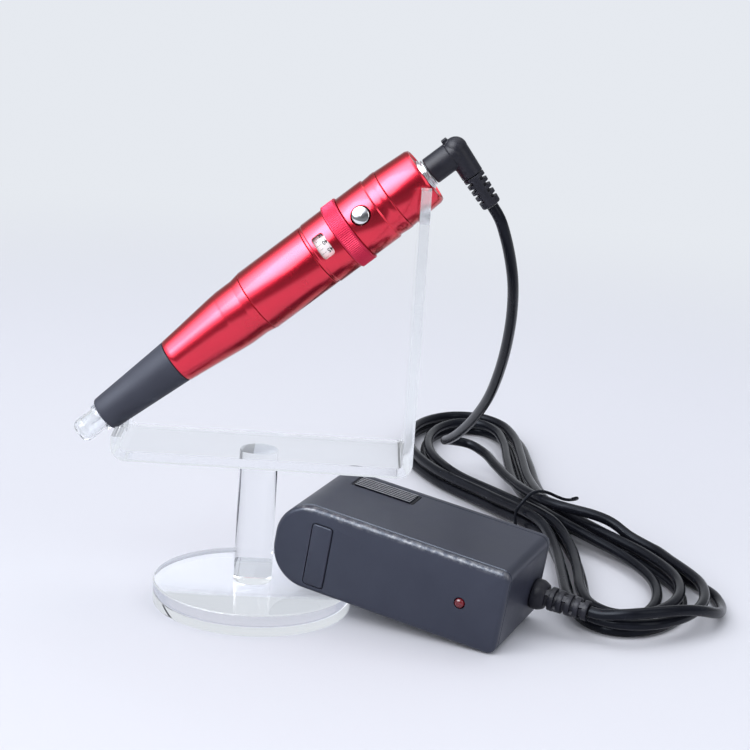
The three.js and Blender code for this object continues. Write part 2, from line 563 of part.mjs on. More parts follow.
function makePlug(pen) {
  const barrelStart = plateEnd - plug.barrelDepth;
  piece(pen, 'plug_barrel', tubeRing(plug.barrel, plug.bore, barrelStart, plateEnd), steel);

  const neckStart = plateEnd + seatGap;
  const neckEnd = neckStart + plug.neckLength;
  const elbowStation = neckStart + plug.elbowRise;
  const neckProfile = [
    [0, neckStart], [plug.neck, neckStart], [plug.neck, neckEnd],
    [plug.elbow, neckEnd + plug.neck - plug.elbow], [plug.elbow, elbowStation], [0, elbowStation],
  ];
  const neckSolid = turned(neckProfile, plug.sides).rotateZ(Math.PI / plug.sides);
  const toElbow = new THREE.Matrix4().makeRotationY(plug.legTilt)
    .setPosition(plug.elbowSide, 0, elbowStation);
  const place = (geometry) => geometry.applyMatrix4(toElbow);
  const ball = place(new THREE.SphereGeometry(plug.elbow, plug.ballSides, plug.ballRings));
  const leg = place(turned([
    [0, 0], [plug.legTop, 0], [plug.legTop, plug.legStraight],
    [plugRibs.grooveShare * plugRibs.radius, plug.legStraight], [0, plug.legStraight],
  ], plug.sides));
  const nub = rod(plug.nub, 0, plug.nubReach, plug.nubSides).rotateY(-Math.PI / 2)
    .translate(0, 0, elbowStation - plug.nubBack);
  piece(pen, 'plug_elbow', join(neckSolid, ball, leg, nub), blackMoulding);

  const ribLength = (plug.legLength - plugRibs.start) / plugRibs.count;
  const ribProfile = [[0, plugRibs.start]];
  for (let i = 0; i < plugRibs.count; i += 1) {
    const radius = plugRibs.radius + ((plugRibs.endRadius - plugRibs.radius) * i) / (plugRibs.count - 1);
    const from = plugRibs.start + i * ribLength;
    const ridge = from + ribLength * plugRibs.ribShare;
    const waist = radius * plugRibs.grooveShare;
    ribProfile.push([radius, from], [radius, ridge]);
    if (i < plugRibs.count - 1) ribProfile.push([waist, ridge], [waist, from + ribLength]);
    else ribProfile.push([radius, from + ribLength], [0, from + ribLength]);
  }
  piece(pen, 'plug_strain_relief', place(turned(ribProfile, innerSides)), blackMoulding);
  return new THREE.Vector3(0, 0, plug.legLength).applyMatrix4(toElbow).applyMatrix4(pen.matrix);
}

// Stations of the adapter, counted from its front
const seam = adapter.depth - adapter.rearCover;
const reliefDepth = adapter.depth - relief.fromBack;
const ventStart = seam - vent.seamMargin - vent.depth;

// The adapter's outline seen from its front, drawn in by an inset
function adapterOutline(inset) {
  const [left, right] = [inset - adapter.length, -inset];
  const [bottom, top] = [inset, adapter.height - inset];
  const big = adapter.leftRound - inset;
  const small = Math.max(adapter.rightRound - inset, adapter.wall / 2);
  const shape = new THREE.Shape();
  shape.absarc(right - small, bottom + small, small, -Math.PI / 2, 0);
  shape.absarc(right - small, top - small, small, 0, Math.PI / 2);
  shape.absarc(left + big, top - big, big, Math.PI / 2, Math.PI);
  shape.absarc(left + big, bottom + big, big, Math.PI, 1.5 * Math.PI);
  return shape;
}

function makeAdapterCase(box) {
  const { depth, bevel, wall, length, height, arcSegments } = adapter;
  const outer = new THREE.ExtrudeGeometry(adapterOutline(bevel), {
    depth: depth - 2 * bevel, bevelEnabled: true, bevelThickness: bevel, bevelSize: bevel,
    bevelSegments: adapter.bevelSegments, curveSegments: arcSegments,
  }).rotateX(Math.PI / 2).translate(0, depth - bevel, 0);
  const hollow = new THREE.ExtrudeGeometry(adapterOutline(wall), {
    depth: depth - 2 * wall, bevelEnabled: false, curveSegments: arcSegments,
  }).rotateX(Math.PI / 2).translate(0, depth - wall, 0);

  const reliefHole = rod(relief.neck + seatGap, -wall - overrun, overrun, innerSides)
    .rotateY(Math.PI / 2).translate(0, reliefDepth, relief.height);
  const ledHole = rod(led.radius + seatGap, -wall - overrun, overrun, innerSides)
    .rotateX(Math.PI / 2).translate(-led.fromRight, 0, led.height);
  const panelLeft = panel.fromLeft - length;
  const panelPocket = block(
    [panelLeft, -overrun, panel.bottom],
    [panelLeft + panel.width, panel.pocket, panel.bottom + panel.height],
  );
  const ventLeft = vent.fromLeft - length;
  const ventPocket = block(
    [ventLeft, ventStart, height - vent.pocket],
    [ventLeft + vent.width, ventStart + vent.depth, height + overrun],
  );
  const shell = cut(outer, hollow);
  const far = length + overrun;
  const frontHalf = block([-far, -overrun, -overrun], [overrun, seam - seatGap / 2, height + overrun]);
  const backHalf = block([-far, seam + seatGap / 2, -overrun], [overrun, depth + overrun, height + overrun]);
  const frontShell = cut(keep(shell, frontHalf), reliefHole, ledHole, panelPocket, ventPocket);
  piece(box, 'adapter_front_shell', frontShell, blackMoulding);

  const slots = [-1, 1].map((sideSign) => bladeBlock(sideSign, seatGap, seam, depth + overrun));
  piece(box, 'adapter_rear_cover', cut(keep(shell, backHalf), ...slots), blackMoulding);
}

// One of the two mains blades, side by side at half the adapter's height, grown by a margin
function bladeBlock(sideSign, margin, from, to) {
  const across = blade.fromLeft - adapter.length + (sideSign * blade.pitch) / 2;
  const [halfWidth, halfThickness] = [blade.width / 2 + margin, blade.thickness / 2 + margin];
  const middle = adapter.height / 2;
  return block(
    [across - halfThickness, from, middle - halfWidth],
    [across + halfThickness, to, middle + halfWidth],
  );
}

function makeAdapterFittings(box) {
  const { depth, wall, height, length } = adapter;
  const panelLeft = panel.fromLeft - length;
  const panelBack = panel.pocket - seatGap;
  const panelSolid = block(
    [panelLeft + seatGap, panelBack - panel.thickness, panel.bottom + seatGap],
    [panelLeft + panel.width - seatGap, panelBack, panel.bottom + panel.height - seatGap],
  );
  piece(box, 'adapter_end_panel', panelSolid, blackMoulding);

  const ventLeft = vent.fromLeft - length + seatGap;
  const ventRight = vent.fromLeft - length + vent.width - seatGap;
  const [ventFront, ventBack] = [ventStart + seatGap, ventStart + vent.depth - seatGap];
  const ventFloor = height - vent.pocket + seatGap;
  const ventTop = ventFloor + vent.base;
  const ventBase = block([ventLeft, ventFront, ventFloor], [ventRight, ventBack, ventTop]);
  const pitch = (ventBack - ventFront) / vent.ribs;
  const ribs = Array.from({ length: vent.ribs }, (_, i) => {
    const start = ventFront + (i + (1 - vent.ribShare) / 2) * pitch;
    const end = start + pitch * vent.ribShare;
    const sink = vent.base * vent.sinkShare;
    return block([ventLeft + sink, start, ventTop - sink], [ventRight - sink, end, ventTop + vent.ribHeight]);
  });
  piece(box, 'adapter_vent', join(ventBase, ...ribs), blackMoulding);

  const ledProfile = [
    [0, -led.length], [led.radius, -led.length], [led.radius, 0],
    [led.radius * led.domeShare, led.dome * led.domeShare], [0, led.dome],
  ];
  const ledSolid = turned(ledProfile, innerSides).rotateX(Math.PI / 2)
    .translate(-led.fromRight, 0, led.height);
  piece(box, 'adapter_led', ledSolid, redLens);

  const ribLength = (relief.length - relief.collarLength) / relief.ribs;
  const flangeEnd = -wall - seatGap;
  const reliefProfile = [
    [0, flangeEnd - relief.flangeThickness], [relief.flange, flangeEnd - relief.flangeThickness],
    [relief.flange, flangeEnd], [relief.neck, flangeEnd], [relief.neck, seatGap], [relief.collar, seatGap],
    [relief.collar, relief.collarLength * relief.ribShare], [relief.rib, relief.collarLength],
  ];
  for (let i = 0; i < relief.ribs; i += 1) {
    const radius = relief.rib + ((relief.lastRib - relief.rib) * i) / (relief.ribs - 1);
    const from = relief.collarLength + i * ribLength;
    const valley = radius - relief.groove;
    const ridge = from + ribLength * (1 - relief.ribShare);
    reliefProfile.push([valley, from], [valley, ridge], [radius, ridge], [radius, from + ribLength]);
  }
  reliefProfile.push([0, relief.length]);
  const reliefSolid = turned(reliefProfile, innerSides).rotateY(Math.PI / 2)
    .translate(0, reliefDepth, relief.height);
  piece(box, 'adapter_strain_relief', reliefSolid, blackMoulding);

  const bladeNames = ['mains_blade_left', 'mains_blade_right'];
  [-1, 1].forEach((sideSign, i) => {
    const bladeSolid = bladeBlock(sideSign, 0, depth - blade.rooted, depth + blade.length);
    piece(box, bladeNames[i], bladeSolid, steel);
  });

  const boardFloor = wall + seatGap;
  const boardTop = boardFloor + board.thickness;
  const boardLeft = adapter.leftRound - length;
  const boardBack = seam - board.seamMargin;
  const boardSolid = block([boardLeft, board.front, boardFloor], [-board.margin, boardBack, boardTop]);
  piece(box, 'adapter_board', boardSolid, boardGreen);
  const onBoard = boardTop + seatGap;
  const transformerRight = transformer.length - transformer.fromRight;
  const transformerSolid = block(
    [-transformer.fromRight, board.front + transformer.sideMargin, onBoard],
    [transformerRight, boardBack - transformer.sideMargin, onBoard + transformer.height],
  );
  piece(box, 'adapter_transformer', transformerSolid, darkPart);
  const capacitorAlong = capacitor.radius - capacitor.fromRight;
  const canSolid = rod(capacitor.radius, onBoard, onBoard + capacitor.height)
    .translate(capacitorAlong, depth - capacitor.setback, 0);
  piece(box, 'adapter_capacitor', canSolid, darkPart);
  return new THREE.Vector3(relief.length, reliefDepth, relief.height).applyMatrix4(box.matrix);
}

// Where the middle of the hank's cord lies after a number of turns
function hankPoint(turns) {
  const { spiralTurns, climbTurns, reversalShare, waistSoftnessShare: soft } = hank;
  const angle = hank.startAngle - 2 * Math.PI * turns;
  const [along, across] = [Math.cos(angle), Math.sin(angle)];
  const climbed = (turns - spiralTurns) / climbTurns;
  let inset = turns;
  if (climbed >= 1) inset = 2 * spiralTurns + climbTurns - turns;
  else if (climbed > 0) inset = spiralTurns + reversalShare * Math.sin(Math.PI * climbed);
  const layer = THREE.MathUtils.smoothstep(climbed, 0, 1);
  const open = (Math.hypot(along, soft) - soft) / (Math.hypot(1, soft) - soft);
  const far = (1 + Math.tanh(along / hank.lobeBlendShare)) / 2;
  const blend = (farSize, nearSize) => far * farSize + (1 - far) * nearSize;
  const reach = blend(hank.farReach - inset * hank.farReachStep, hank.nearReach - inset * hank.nearReachStep);
  const bulge = blend(hank.farBulge, hank.nearBulge) - inset * hank.bulgeStep;
  const waist = hank.waist - inset * hank.waistStep;
  const bow = (along > 0 ? hank.farBow : hank.nearBow) * Math.sin(Math.PI * Math.abs(along));
  const lengthwise = reach * along;
  const sideways = across * (waist * (1 - open) + bulge * open) + bow;
  const lift = hank.waistLift * Math.exp(-((lengthwise / hank.liftReach) ** 2));
  const height = cord.diameter / 2 + hank.clearFloor + layer * hank.layerRise + lift;
  return fromHankFrame(lengthwise, sideways, height);
}

// From along the hank, across it and up, to the part's own frame
function fromHankFrame(lengthwise, sideways, height) {
  const [c, s] = [Math.cos(hank.turn), Math.sin(hank.turn)];
  return new THREE.Vector3(
    hank.centreX + c * lengthwise + s * sideways,
    hank.centreY + s * lengthwise - c * sideways,
    height,
  );
}

function hankLine() {
  const turns = 2 * hank.spiralTurns + hank.climbTurns;
  const steps = Math.round(turns * hank.loopSteps);
  const points = Array.from({ length: steps + 1 }, (_, i) => hankPoint(i / hank.loopSteps));
  const straight = (end, next) => end.clone().add(end.clone().sub(next).setZ(0).setLength(cord.diameter));
  const first = straight(points[0], points[1]);
  const last = straight(points[steps], points[steps - 1]);
  return [first, ...points, last];
}

// Skin of a tube with flat rings set square to a line of points
function hankGeometry(points) {
  const { sides } = hank;
  const corners = [];
  const triangles = [];
  const up = new THREE.Vector3(0, 0, 1);
  points.forEach((point, i) => {
    const before = points[Math.max(i - 1, 0)];
    const after = points[Math.min(i + 1, points.length - 1)];
    const ahead = after.clone().sub(before).normalize();
    const side = new THREE.Vector3().crossVectors(ahead, up).normalize();
    const top = new THREE.Vector3().crossVectors(side, ahead);
    for (let j = 0; j < sides; j += 1) {
      const angle = (2 * Math.PI * (j + 1 / 2)) / sides;
      const corner = point.clone()
        .addScaledVector(side, (cord.diameter / 2) * Math.cos(angle))
        .addScaledVector(top, (cord.diameter / 2) * Math.sin(angle));
      corners.push(corner.x, corner.y, corner.z);
    }
  });
  for (let i = 0; i < points.length - 1; i += 1) {
    for (let j = 0; j < sides; j += 1) {
      const [a, b] = [i * sides + j, i * sides + ((j + 1) % sides)];
      triangles.push(a, a + sides, b, b, a + sides, b + sides);
    }
  }
  const last = (points.length - 1) * sides;
  for (let j = 1; j < sides - 1; j += 1) {
    triangles.push(0, j, j + 1, last, last + j + 1, last + j);
  }
  const geometry = new THREE.BufferGeometry();
  geometry.setAttribute('position', new THREE.BufferAttribute(new Float32Array(corners), 3));
  geometry.setIndex(triangles);
  return geometry;
}

// Least gap of the hank's cord to itself, on points along its middle line
function leastGap(points) {
  const samples = [];
  let travelled = 0;
  for (let i = 0; i < points.length - 1; i += 1) {
    const span = points[i].distanceTo(points[i + 1]);
    const count = Math.max(1, Math.round(span / hank.sampleLength));
    for (let j = 0; j < count; j += 1) {
      samples.push([points[i].clone().lerp(points[i + 1], j / count), travelled + (span * j) / count]);
    }
    travelled += span;
  }
  let least = Infinity;
  samples.forEach(([point, place], i) => {
    for (let j = i + 1; j < samples.length; j += 1) {
      const [other, otherPlace] = samples[j];
      if (otherPlace - place > hank.neighbourLength) least = Math.min(least, point.distanceTo(other));
    }
  });
  return [least - cord.diameter, travelled];
}

function makeCord(plugTip, reliefTip) {
  const line = hankLine();
  const drop = routeBetween(plugTip, line[line.length - 1], dropOffsets);
  piece(part, 'cord_drop', cordTube(drop), blackCable);
  const lead = routeBetween(reliefTip, line[0], leadOffsets);
  piece(part, 'cord_adapter_lead', cordTube(lead), blackCable);
  const [gap, length] = leastGap(line);
  console.log(`hank: ${length.toFixed(0)} mm of cord, least gap to itself ${gap.toFixed(2)} mm`);
  piece(part, 'cord_hank', hankGeometry(line), blackCable);
  const tiePoints = tieRoute.map((point) => fromHankFrame(...point));
  piece(part, 'cord_tie', tubeAlong(tiePoints, tie.diameter, tie.sides, tie.steps), blackCable);
}

makeStand();

const penGroup = new THREE.Group();
penGroup.position.set(noseX, 0, penPlace.noseHeight);
penGroup.rotation.y = Math.PI / 2 - penPlace.tilt;
penGroup.updateMatrix();
part.add(penGroup);
makeHousings(penGroup);
makeNeedleCap(penGroup);
makeNeedleDrive(penGroup);
makeMotor(penGroup);
makeAdjuster(penGroup);
makeSwitchGear(penGroup);
const plugTip = makePlug(penGroup);

// The adapter's slope settles where its underside meets the foot's rim
const leftFace = post.radius + adapter.postGap;
let rise = 0;
for (let step = 0; step < adapter.settlingSteps; step += 1) {
  const run = leftFace + adapter.length * Math.cos(rise) - foot.radius;
  rise = Math.atan2(foot.thickness + adapter.restGap, run);
}
const reachOut = leftFace + adapter.length * Math.cos(rise);
const [yawCos, yawSin] = [Math.cos(adapter.yaw), Math.sin(adapter.yaw)];
const adapterGroup = new THREE.Group();
adapterGroup.position.set(
  yawCos * reachOut - yawSin * adapter.sideStep,
  yawSin * reachOut + yawCos * adapter.sideStep,
  adapter.lift,
);
adapterGroup.rotation.set(adapter.lean, rise, adapter.yaw, 'ZYX');
adapterGroup.updateMatrix();
part.add(adapterGroup);
makeAdapterCase(adapterGroup);
const reliefTip = makeAdapterFittings(adapterGroup);

makeCord(plugTip, reliefTip);

export default part;
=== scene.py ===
import math

import bpy
from mathutils import Matrix, Vector


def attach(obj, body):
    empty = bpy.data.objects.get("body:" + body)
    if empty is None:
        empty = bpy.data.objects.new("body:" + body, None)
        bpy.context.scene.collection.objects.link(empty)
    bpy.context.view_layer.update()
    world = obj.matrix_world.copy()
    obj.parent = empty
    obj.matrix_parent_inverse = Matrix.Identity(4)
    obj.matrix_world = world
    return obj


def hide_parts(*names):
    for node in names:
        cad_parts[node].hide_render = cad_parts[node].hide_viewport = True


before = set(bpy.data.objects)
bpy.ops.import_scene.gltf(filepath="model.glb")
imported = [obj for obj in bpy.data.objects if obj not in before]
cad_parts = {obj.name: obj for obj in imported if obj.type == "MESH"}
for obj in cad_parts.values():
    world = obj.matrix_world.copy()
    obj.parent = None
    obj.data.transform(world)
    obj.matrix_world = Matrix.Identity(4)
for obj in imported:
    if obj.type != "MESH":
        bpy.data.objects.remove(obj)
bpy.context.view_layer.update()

mm = 0.001
mergeGap = 1e-6
print("frame loaded:", len(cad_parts), "nodes")


# Camera: standing in front of the stand, looking slightly down
cameraSetup = {
    "place": (28.983, -610.364, 229.043),
    "right": (0.99790313, 0.00893312, 0.06410575),
    "up": (-0.06433236, 0.24584235, 0.96717263),
    "ahead": (0.00712004, 0.96926866, -0.24590154),
    "lens": 100.8,
    "sensor": 36,
}


def makeCamera():
    setup = cameraSetup
    lens = bpy.data.cameras.new("studioCamera")
    lens.lens = setup["lens"]
    lens.sensor_width = setup["sensor"]
    lens.clip_start = 0.01
    lens.clip_end = 50
    camera = bpy.data.objects.new("studioCamera", lens)
    bpy.context.scene.collection.objects.link(camera)
    right, up, ahead = (Vector(setup[key]) for key in ("right", "up", "ahead"))
    turn = Matrix((right, up, -ahead)).transposed().to_4x4()
    camera.matrix_world = Matrix.Translation(Vector(setup["place"]) * mm) @ turn
    bpy.context.scene.camera = camera


makeCamera()


def moved(x, y, z):
    return Matrix.Translation(Vector((x, y, z)) * mm)


def turned(degrees, axis):
    return Matrix.Rotation(math.radians(degrees), 4, axis)


# Frames of the two tilted things: the pen on its cradle and the adapter on the table
penFrame = moved(-47.13, 0, 56.592) @ turned(49.25, "Y")
adapterTurn = turned(-22.344, "Z") @ turned(8.0463, "Y") @ turned(2.524, "X")
adapterFrame = moved(73.2443, -33.3976, -0.33) @ adapterTurn


# Modelling helpers
def pickNothing():
    if bpy.context.object and bpy.context.object.mode != "OBJECT":
        bpy.ops.object.mode_set(mode="OBJECT")
    bpy.ops.object.select_all(action="DESELECT")


def pickOnly(piece):
    pickNothing()
    piece.select_set(True)
    bpy.context.view_layer.objects.active = piece


def settle(piece, matrix=None):
    pickOnly(piece)
    if matrix is not None:
        piece.matrix_world = matrix @ piece.matrix_world
    bpy.ops.object.transform_apply(location=True, rotation=True, scale=True)
    return piece


def openMesh(piece, action="SELECT"):
    pickOnly(piece)
    bpy.ops.object.mode_set(mode="EDIT")
    bpy.ops.mesh.select_all(action=action)


def closeMesh():
    bpy.ops.object.mode_set(mode="OBJECT")


def pickParts(piece, kind, test):
    openMesh(piece, "DESELECT")
    bpy.ops.mesh.select_mode(type=kind)
    closeMesh()
    mesh = piece.data
    if kind == "FACE":
        for face in mesh.polygons:
            face.select = test(face.center, face.normal)
    elif kind == "EDGE":
        for edge in mesh.edges:
            edge.select = test(*(mesh.vertices[i].co for i in edge.vertices))
    else:
        for corner in mesh.vertices:
            corner.select = test(corner.co)
    bpy.ops.object.mode_set(mode="EDIT")


def bevelEdges(piece, width, segments, test):
    pickParts(piece, "EDGE", test)
    bpy.ops.mesh.bevel(offset=width * mm, segments=segments, affect="EDGES")
    closeMesh()


def cleanSkin(piece):
    openMesh(piece)
    bpy.ops.mesh.remove_doubles(threshold=mergeGap)
    bpy.ops.mesh.normals_make_consistent(inside=False)
    closeMesh()


def applyModifier(piece, kind, **settings):
    pickOnly(piece)
    modifier = piece.modifiers.new(kind.lower(), kind)
    for key, value in settings.items():
        setattr(modifier, key, value)
    bpy.ops.object.modifier_apply(modifier=modifier.name)


def softenEdges(piece, width, segments=3, angle=28):
    applyModifier(
        piece, "BEVEL", width=width * mm, segments=segments, limit_method="ANGLE",
        angle_limit=math.radians(angle), use_clamp_overlap=True,
    )


def shadeSmooth(piece, angle=32):
    pickOnly(piece)
    bpy.ops.object.shade_smooth_by_angle(angle=math.radians(angle))


def combine(piece, other, how):
    applyModifier(piece, "BOOLEAN", object=other, operation=how, solver="EXACT")
    bpy.data.objects.remove(other)


def smoothRings(points, perSpan):
    rings = []
    for i in range(len(points) - 1):
        before = points[max(i - 1, 0)]
        here, there = points[i], points[i + 1]
        after = points[min(i + 2, len(points) - 1)]
        span = there[1] - here[1]
        slopeIn = (there[0] - before[0]) / (there[1] - before[1])
        slopeOut = (after[0] - here[0]) / (after[1] - here[1])
        for j in range(perSpan):
            t = j / perSpan
            radius = (
                (2 * t**3 - 3 * t**2 + 1) * here[0] + (t**3 - 2 * t**2 + t) * span * slopeIn
                + (3 * t**2 - 2 * t**3) * there[0] + (t**3 - t**2) * span * slopeOut
            )
            rings.append((radius, here[1] + span * t))
    return rings + [tuple(points[-1])]


def turnPiece(name, rings, sides=96, filled=False):
    pickNothing()
    radius, station = rings[0][:2]
    bpy.ops.mesh.primitive_circle_add(
        vertices=sides, radius=radius * mm, location=(0, 0, station * mm), fill_type="NOTHING"
    )
    piece = bpy.context.object
    piece.name = piece.data.name = name
    openMesh(settle(piece))
    ringList = list(rings) if filled else list(rings) + [rings[0]]
    for here, there in zip(ringList, ringList[1:]):
        bpy.ops.mesh.extrude_region_move(TRANSFORM_OT_translate={"value": (0, 0, (there[1] - here[1]) * mm)})
        grow = there[0] / here[0]
        bpy.ops.transform.resize(value=(grow, grow, 1), center_override=(0, 0, there[1] * mm))
    bpy.ops.mesh.select_all(action="SELECT")
    bpy.ops.mesh.remove_doubles(threshold=mergeGap)
    if filled:
        bpy.ops.mesh.fill_holes(sides=0)
    bpy.ops.mesh.select_all(action="SELECT")
    bpy.ops.mesh.normals_make_consistent(inside=False)
    closeMesh()
    return piece


def boxPiece(name, low, high):
    pickNothing()
    low, high = Vector(low) * mm, Vector(high) * mm
    bpy.ops.mesh.primitive_cube_add(size=1, location=(low + high) / 2, scale=high - low)
    piece = bpy.context.object
    piece.name = piece.data.name = name
    return settle(piece)


def dress(piece, finishName):
    piece.data.materials.clear()
    piece.data.materials.append(made[finishName])


def hand(piece, body, node, finishName, angle=32):
    shadeSmooth(piece, angle)
    dress(piece, finishName)
    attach(piece, body)
    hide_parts(node)


# Shader helpers and shared effects
def addNode(tree, kind, sockets=None, **settings):
    node = tree.nodes.new("ShaderNode" + kind)
    for key, value in settings.items():
        setattr(node, key, value)
    for key, value in (sockets or {}).items():
        if isinstance(value, bpy.types.NodeSocket):
            tree.links.new(value, node.inputs[key])
        else:
            node.inputs[key].default_value = value
    return node


def reckon(tree, operation, *values, **settings):
    return addNode(tree, "Math", dict(enumerate(values)), operation=operation, **settings).outputs["Value"]


def remap(tree, value, start, end, low=0, high=1, ease="LINEAR"):
    sockets = {"Value": value, "From Min": start, "From Max": end, "To Min": low, "To Max": high}
    return addNode(tree, "MapRange", sockets, interpolation_type=ease).outputs["Result"]


def blend(tree, kind, share, first, second):
    return addNode(tree, "Mix", {"Factor": share, "A": first, "B": second}, data_type=kind).outputs["Result"]


def blendShaders(tree, share, first, second):
    return addNode(tree, "MixShader", {0: share, 1: first, 2: second}).outputs["Shader"]


def opaque(color):
    return (*color, 1)


def newGroup(name, inputs, outputs):
    group = bpy.data.node_groups.new(name, "ShaderNodeTree")
    group.interface.new_socket(name="Vector", in_out="INPUT", socket_type="NodeSocketVector")
    for label, value in inputs.items():
        socket = group.interface.new_socket(name=label, in_out="INPUT", socket_type="NodeSocketFloat")
        socket.default_value = value
    for label in outputs:
        group.interface.new_socket(name=label, in_out="OUTPUT", socket_type="NodeSocketFloat")
    return group, group.nodes.new("NodeGroupInput").outputs, group.nodes.new("NodeGroupOutput").inputs


def noise(tree, vector, scale, detail, roughness=0.5):
    sockets = {"Vector": vector, "Scale": scale, "Detail": detail, "Roughness": roughness}
    return addNode(tree, "TexNoise", sockets).outputs["Fac"]


def grainGroup():
    sizes = {"Grain size": 4000, "Patch size": 60}
    group, given, result = newGroup("surfaceGrain", sizes, ["Height", "Patches"])
    broad = noise(group, given["Vector"], given["Patch size"], 5, 0.6)
    group.links.new(noise(group, given["Vector"], given["Grain size"], 3), result["Height"])
    group.links.new(remap(group, broad, 0.35, 0.7), result["Patches"])
    return group


def turningGroup():
    group, given, result = newGroup("turningLines", {"Line size": 3500}, ["Height"])
    squeeze = addNode(group, "Mapping", {"Vector": given["Vector"], "Scale": (0.02, 0.02, 1)})
    lines = noise(group, squeeze.outputs["Vector"], given["Line size"], 2)
    group.links.new(lines, result["Height"])
    return group


def wornEdgeAndHighlightGroup():
    # broken wear marks near the line that runs along X through the vector's origin, partly real wear and
    # partly a painted highlight
    group, given, result = newGroup("wornEdgeAndHighlight", {"Reach": 0.0016, "Break size": 900}, ["Mask"])
    flat = addNode(group, "VectorMath", {0: given["Vector"], 1: (0, 1, 1)}, operation="MULTIPLY")
    away = addNode(group, "VectorMath", {0: flat.outputs["Vector"]}, operation="LENGTH").outputs["Value"]
    near = remap(group, away, 0, given["Reach"], 1, 0)
    breaks = remap(group, noise(group, given["Vector"], given["Break size"], 6, 0.7), 0.42, 0.62)
    group.links.new(reckon(group, "MULTIPLY", near, breaks), result["Mask"])
    return group


grain = grainGroup()
turning = turningGroup()
wornEdgeAndHighlight = wornEdgeAndHighlightGroup()


def localVector(tree, matrix):
    place, turn, _ = matrix.decompose()
    sockets = {
        "Vector": addNode(tree, "TexCoord").outputs["Object"], "Location": place, "Rotation": turn.to_euler(),
    }
    return addNode(tree, "Mapping", sockets, vector_type="TEXTURE").outputs["Vector"]


def makeFinish(name, recipe):
    material = bpy.data.materials.new(name)
    material.use_nodes = True
    tree = material.node_tree
    shader = tree.nodes["Principled BSDF"]
    for label, value in recipe.get("plain", {}).items():
        shader.inputs[label].default_value = value
    place = localVector(tree, recipe.get("frame", Matrix.Identity(4)))
    marks = addNode(tree, "Group", node_tree=grain, sockets={
        "Vector": place, "Grain size": recipe["grain"][0], "Patch size": recipe["grain"][1],
    }).outputs
    height = marks["Height"]
    colour = blend(tree, "RGBA", marks["Patches"], *map(opaque, recipe["colors"]))
    rough = remap(tree, marks["Patches"], 0, 1, *recipe["roughness"])

    if "lineSize" in recipe:
        sockets = {"Vector": place, "Line size": recipe["lineSize"]}
        lines = addNode(tree, "Group", sockets, node_tree=turning)
        height = blend(tree, "FLOAT", recipe["lineShare"], height, lines.outputs["Height"])

    # paler band along the edge: partly wear, partly a painted highlight
    if "edgeWearAndHighlight" in recipe:
        edgeWearAndHighlight = recipe["edgeWearAndHighlight"]
        fromEdge = addNode(tree, "VectorMath", {0: place, 1: Vector(edgeWearAndHighlight["edge"]) * mm}, operation="SUBTRACT")
        wearAndHighlightMask = addNode(tree, "Group", node_tree=wornEdgeAndHighlight, sockets={
            "Vector": fromEdge.outputs["Vector"], "Reach": edgeWearAndHighlight["reach"] * mm, "Break size": edgeWearAndHighlight["breakSize"],
        }).outputs["Mask"]
        colour = blend(tree, "RGBA", wearAndHighlightMask, colour, opaque(edgeWearAndHighlight["color"]))
        tree.links.new(wearAndHighlightMask, shader.inputs["Coat Weight"])

    strength, depth = recipe["bump"]
    bump = addNode(tree, "Bump", {"Strength": strength, "Distance": depth * mm, "Height": height})
    for label, socket in (("Normal", bump.outputs["Normal"]), ("Base Color", colour), ("Roughness", rough)):
        tree.links.new(socket, shader.inputs[label])

    if "clearShadow" in recipe:
        # light passes the clear piece instead of leaving a black shadow
        path = addNode(tree, "LightPath").outputs
        spent = reckon(tree, "GREATER_THAN", path["Ray Depth"], recipe["turns"])
        passing = reckon(tree, "MAXIMUM", spent, path["Is Shadow Ray"])
        through = addNode(tree, "BsdfTransparent", {"Color": opaque(recipe["clearShadow"])}).outputs["BSDF"]
        surface = blendShaders(tree, passing, shader.outputs["BSDF"], through)
        tree.links.new(surface, tree.nodes["Material Output"].inputs["Surface"])
    return material


acrylic = {
    "roughness": (0.0, 0.02), "plain": {"Transmission Weight": 1, "IOR": 1.4}, "turns": 3.5,
    "grain": (600, 25), "bump": (0.02, 0.02),
}
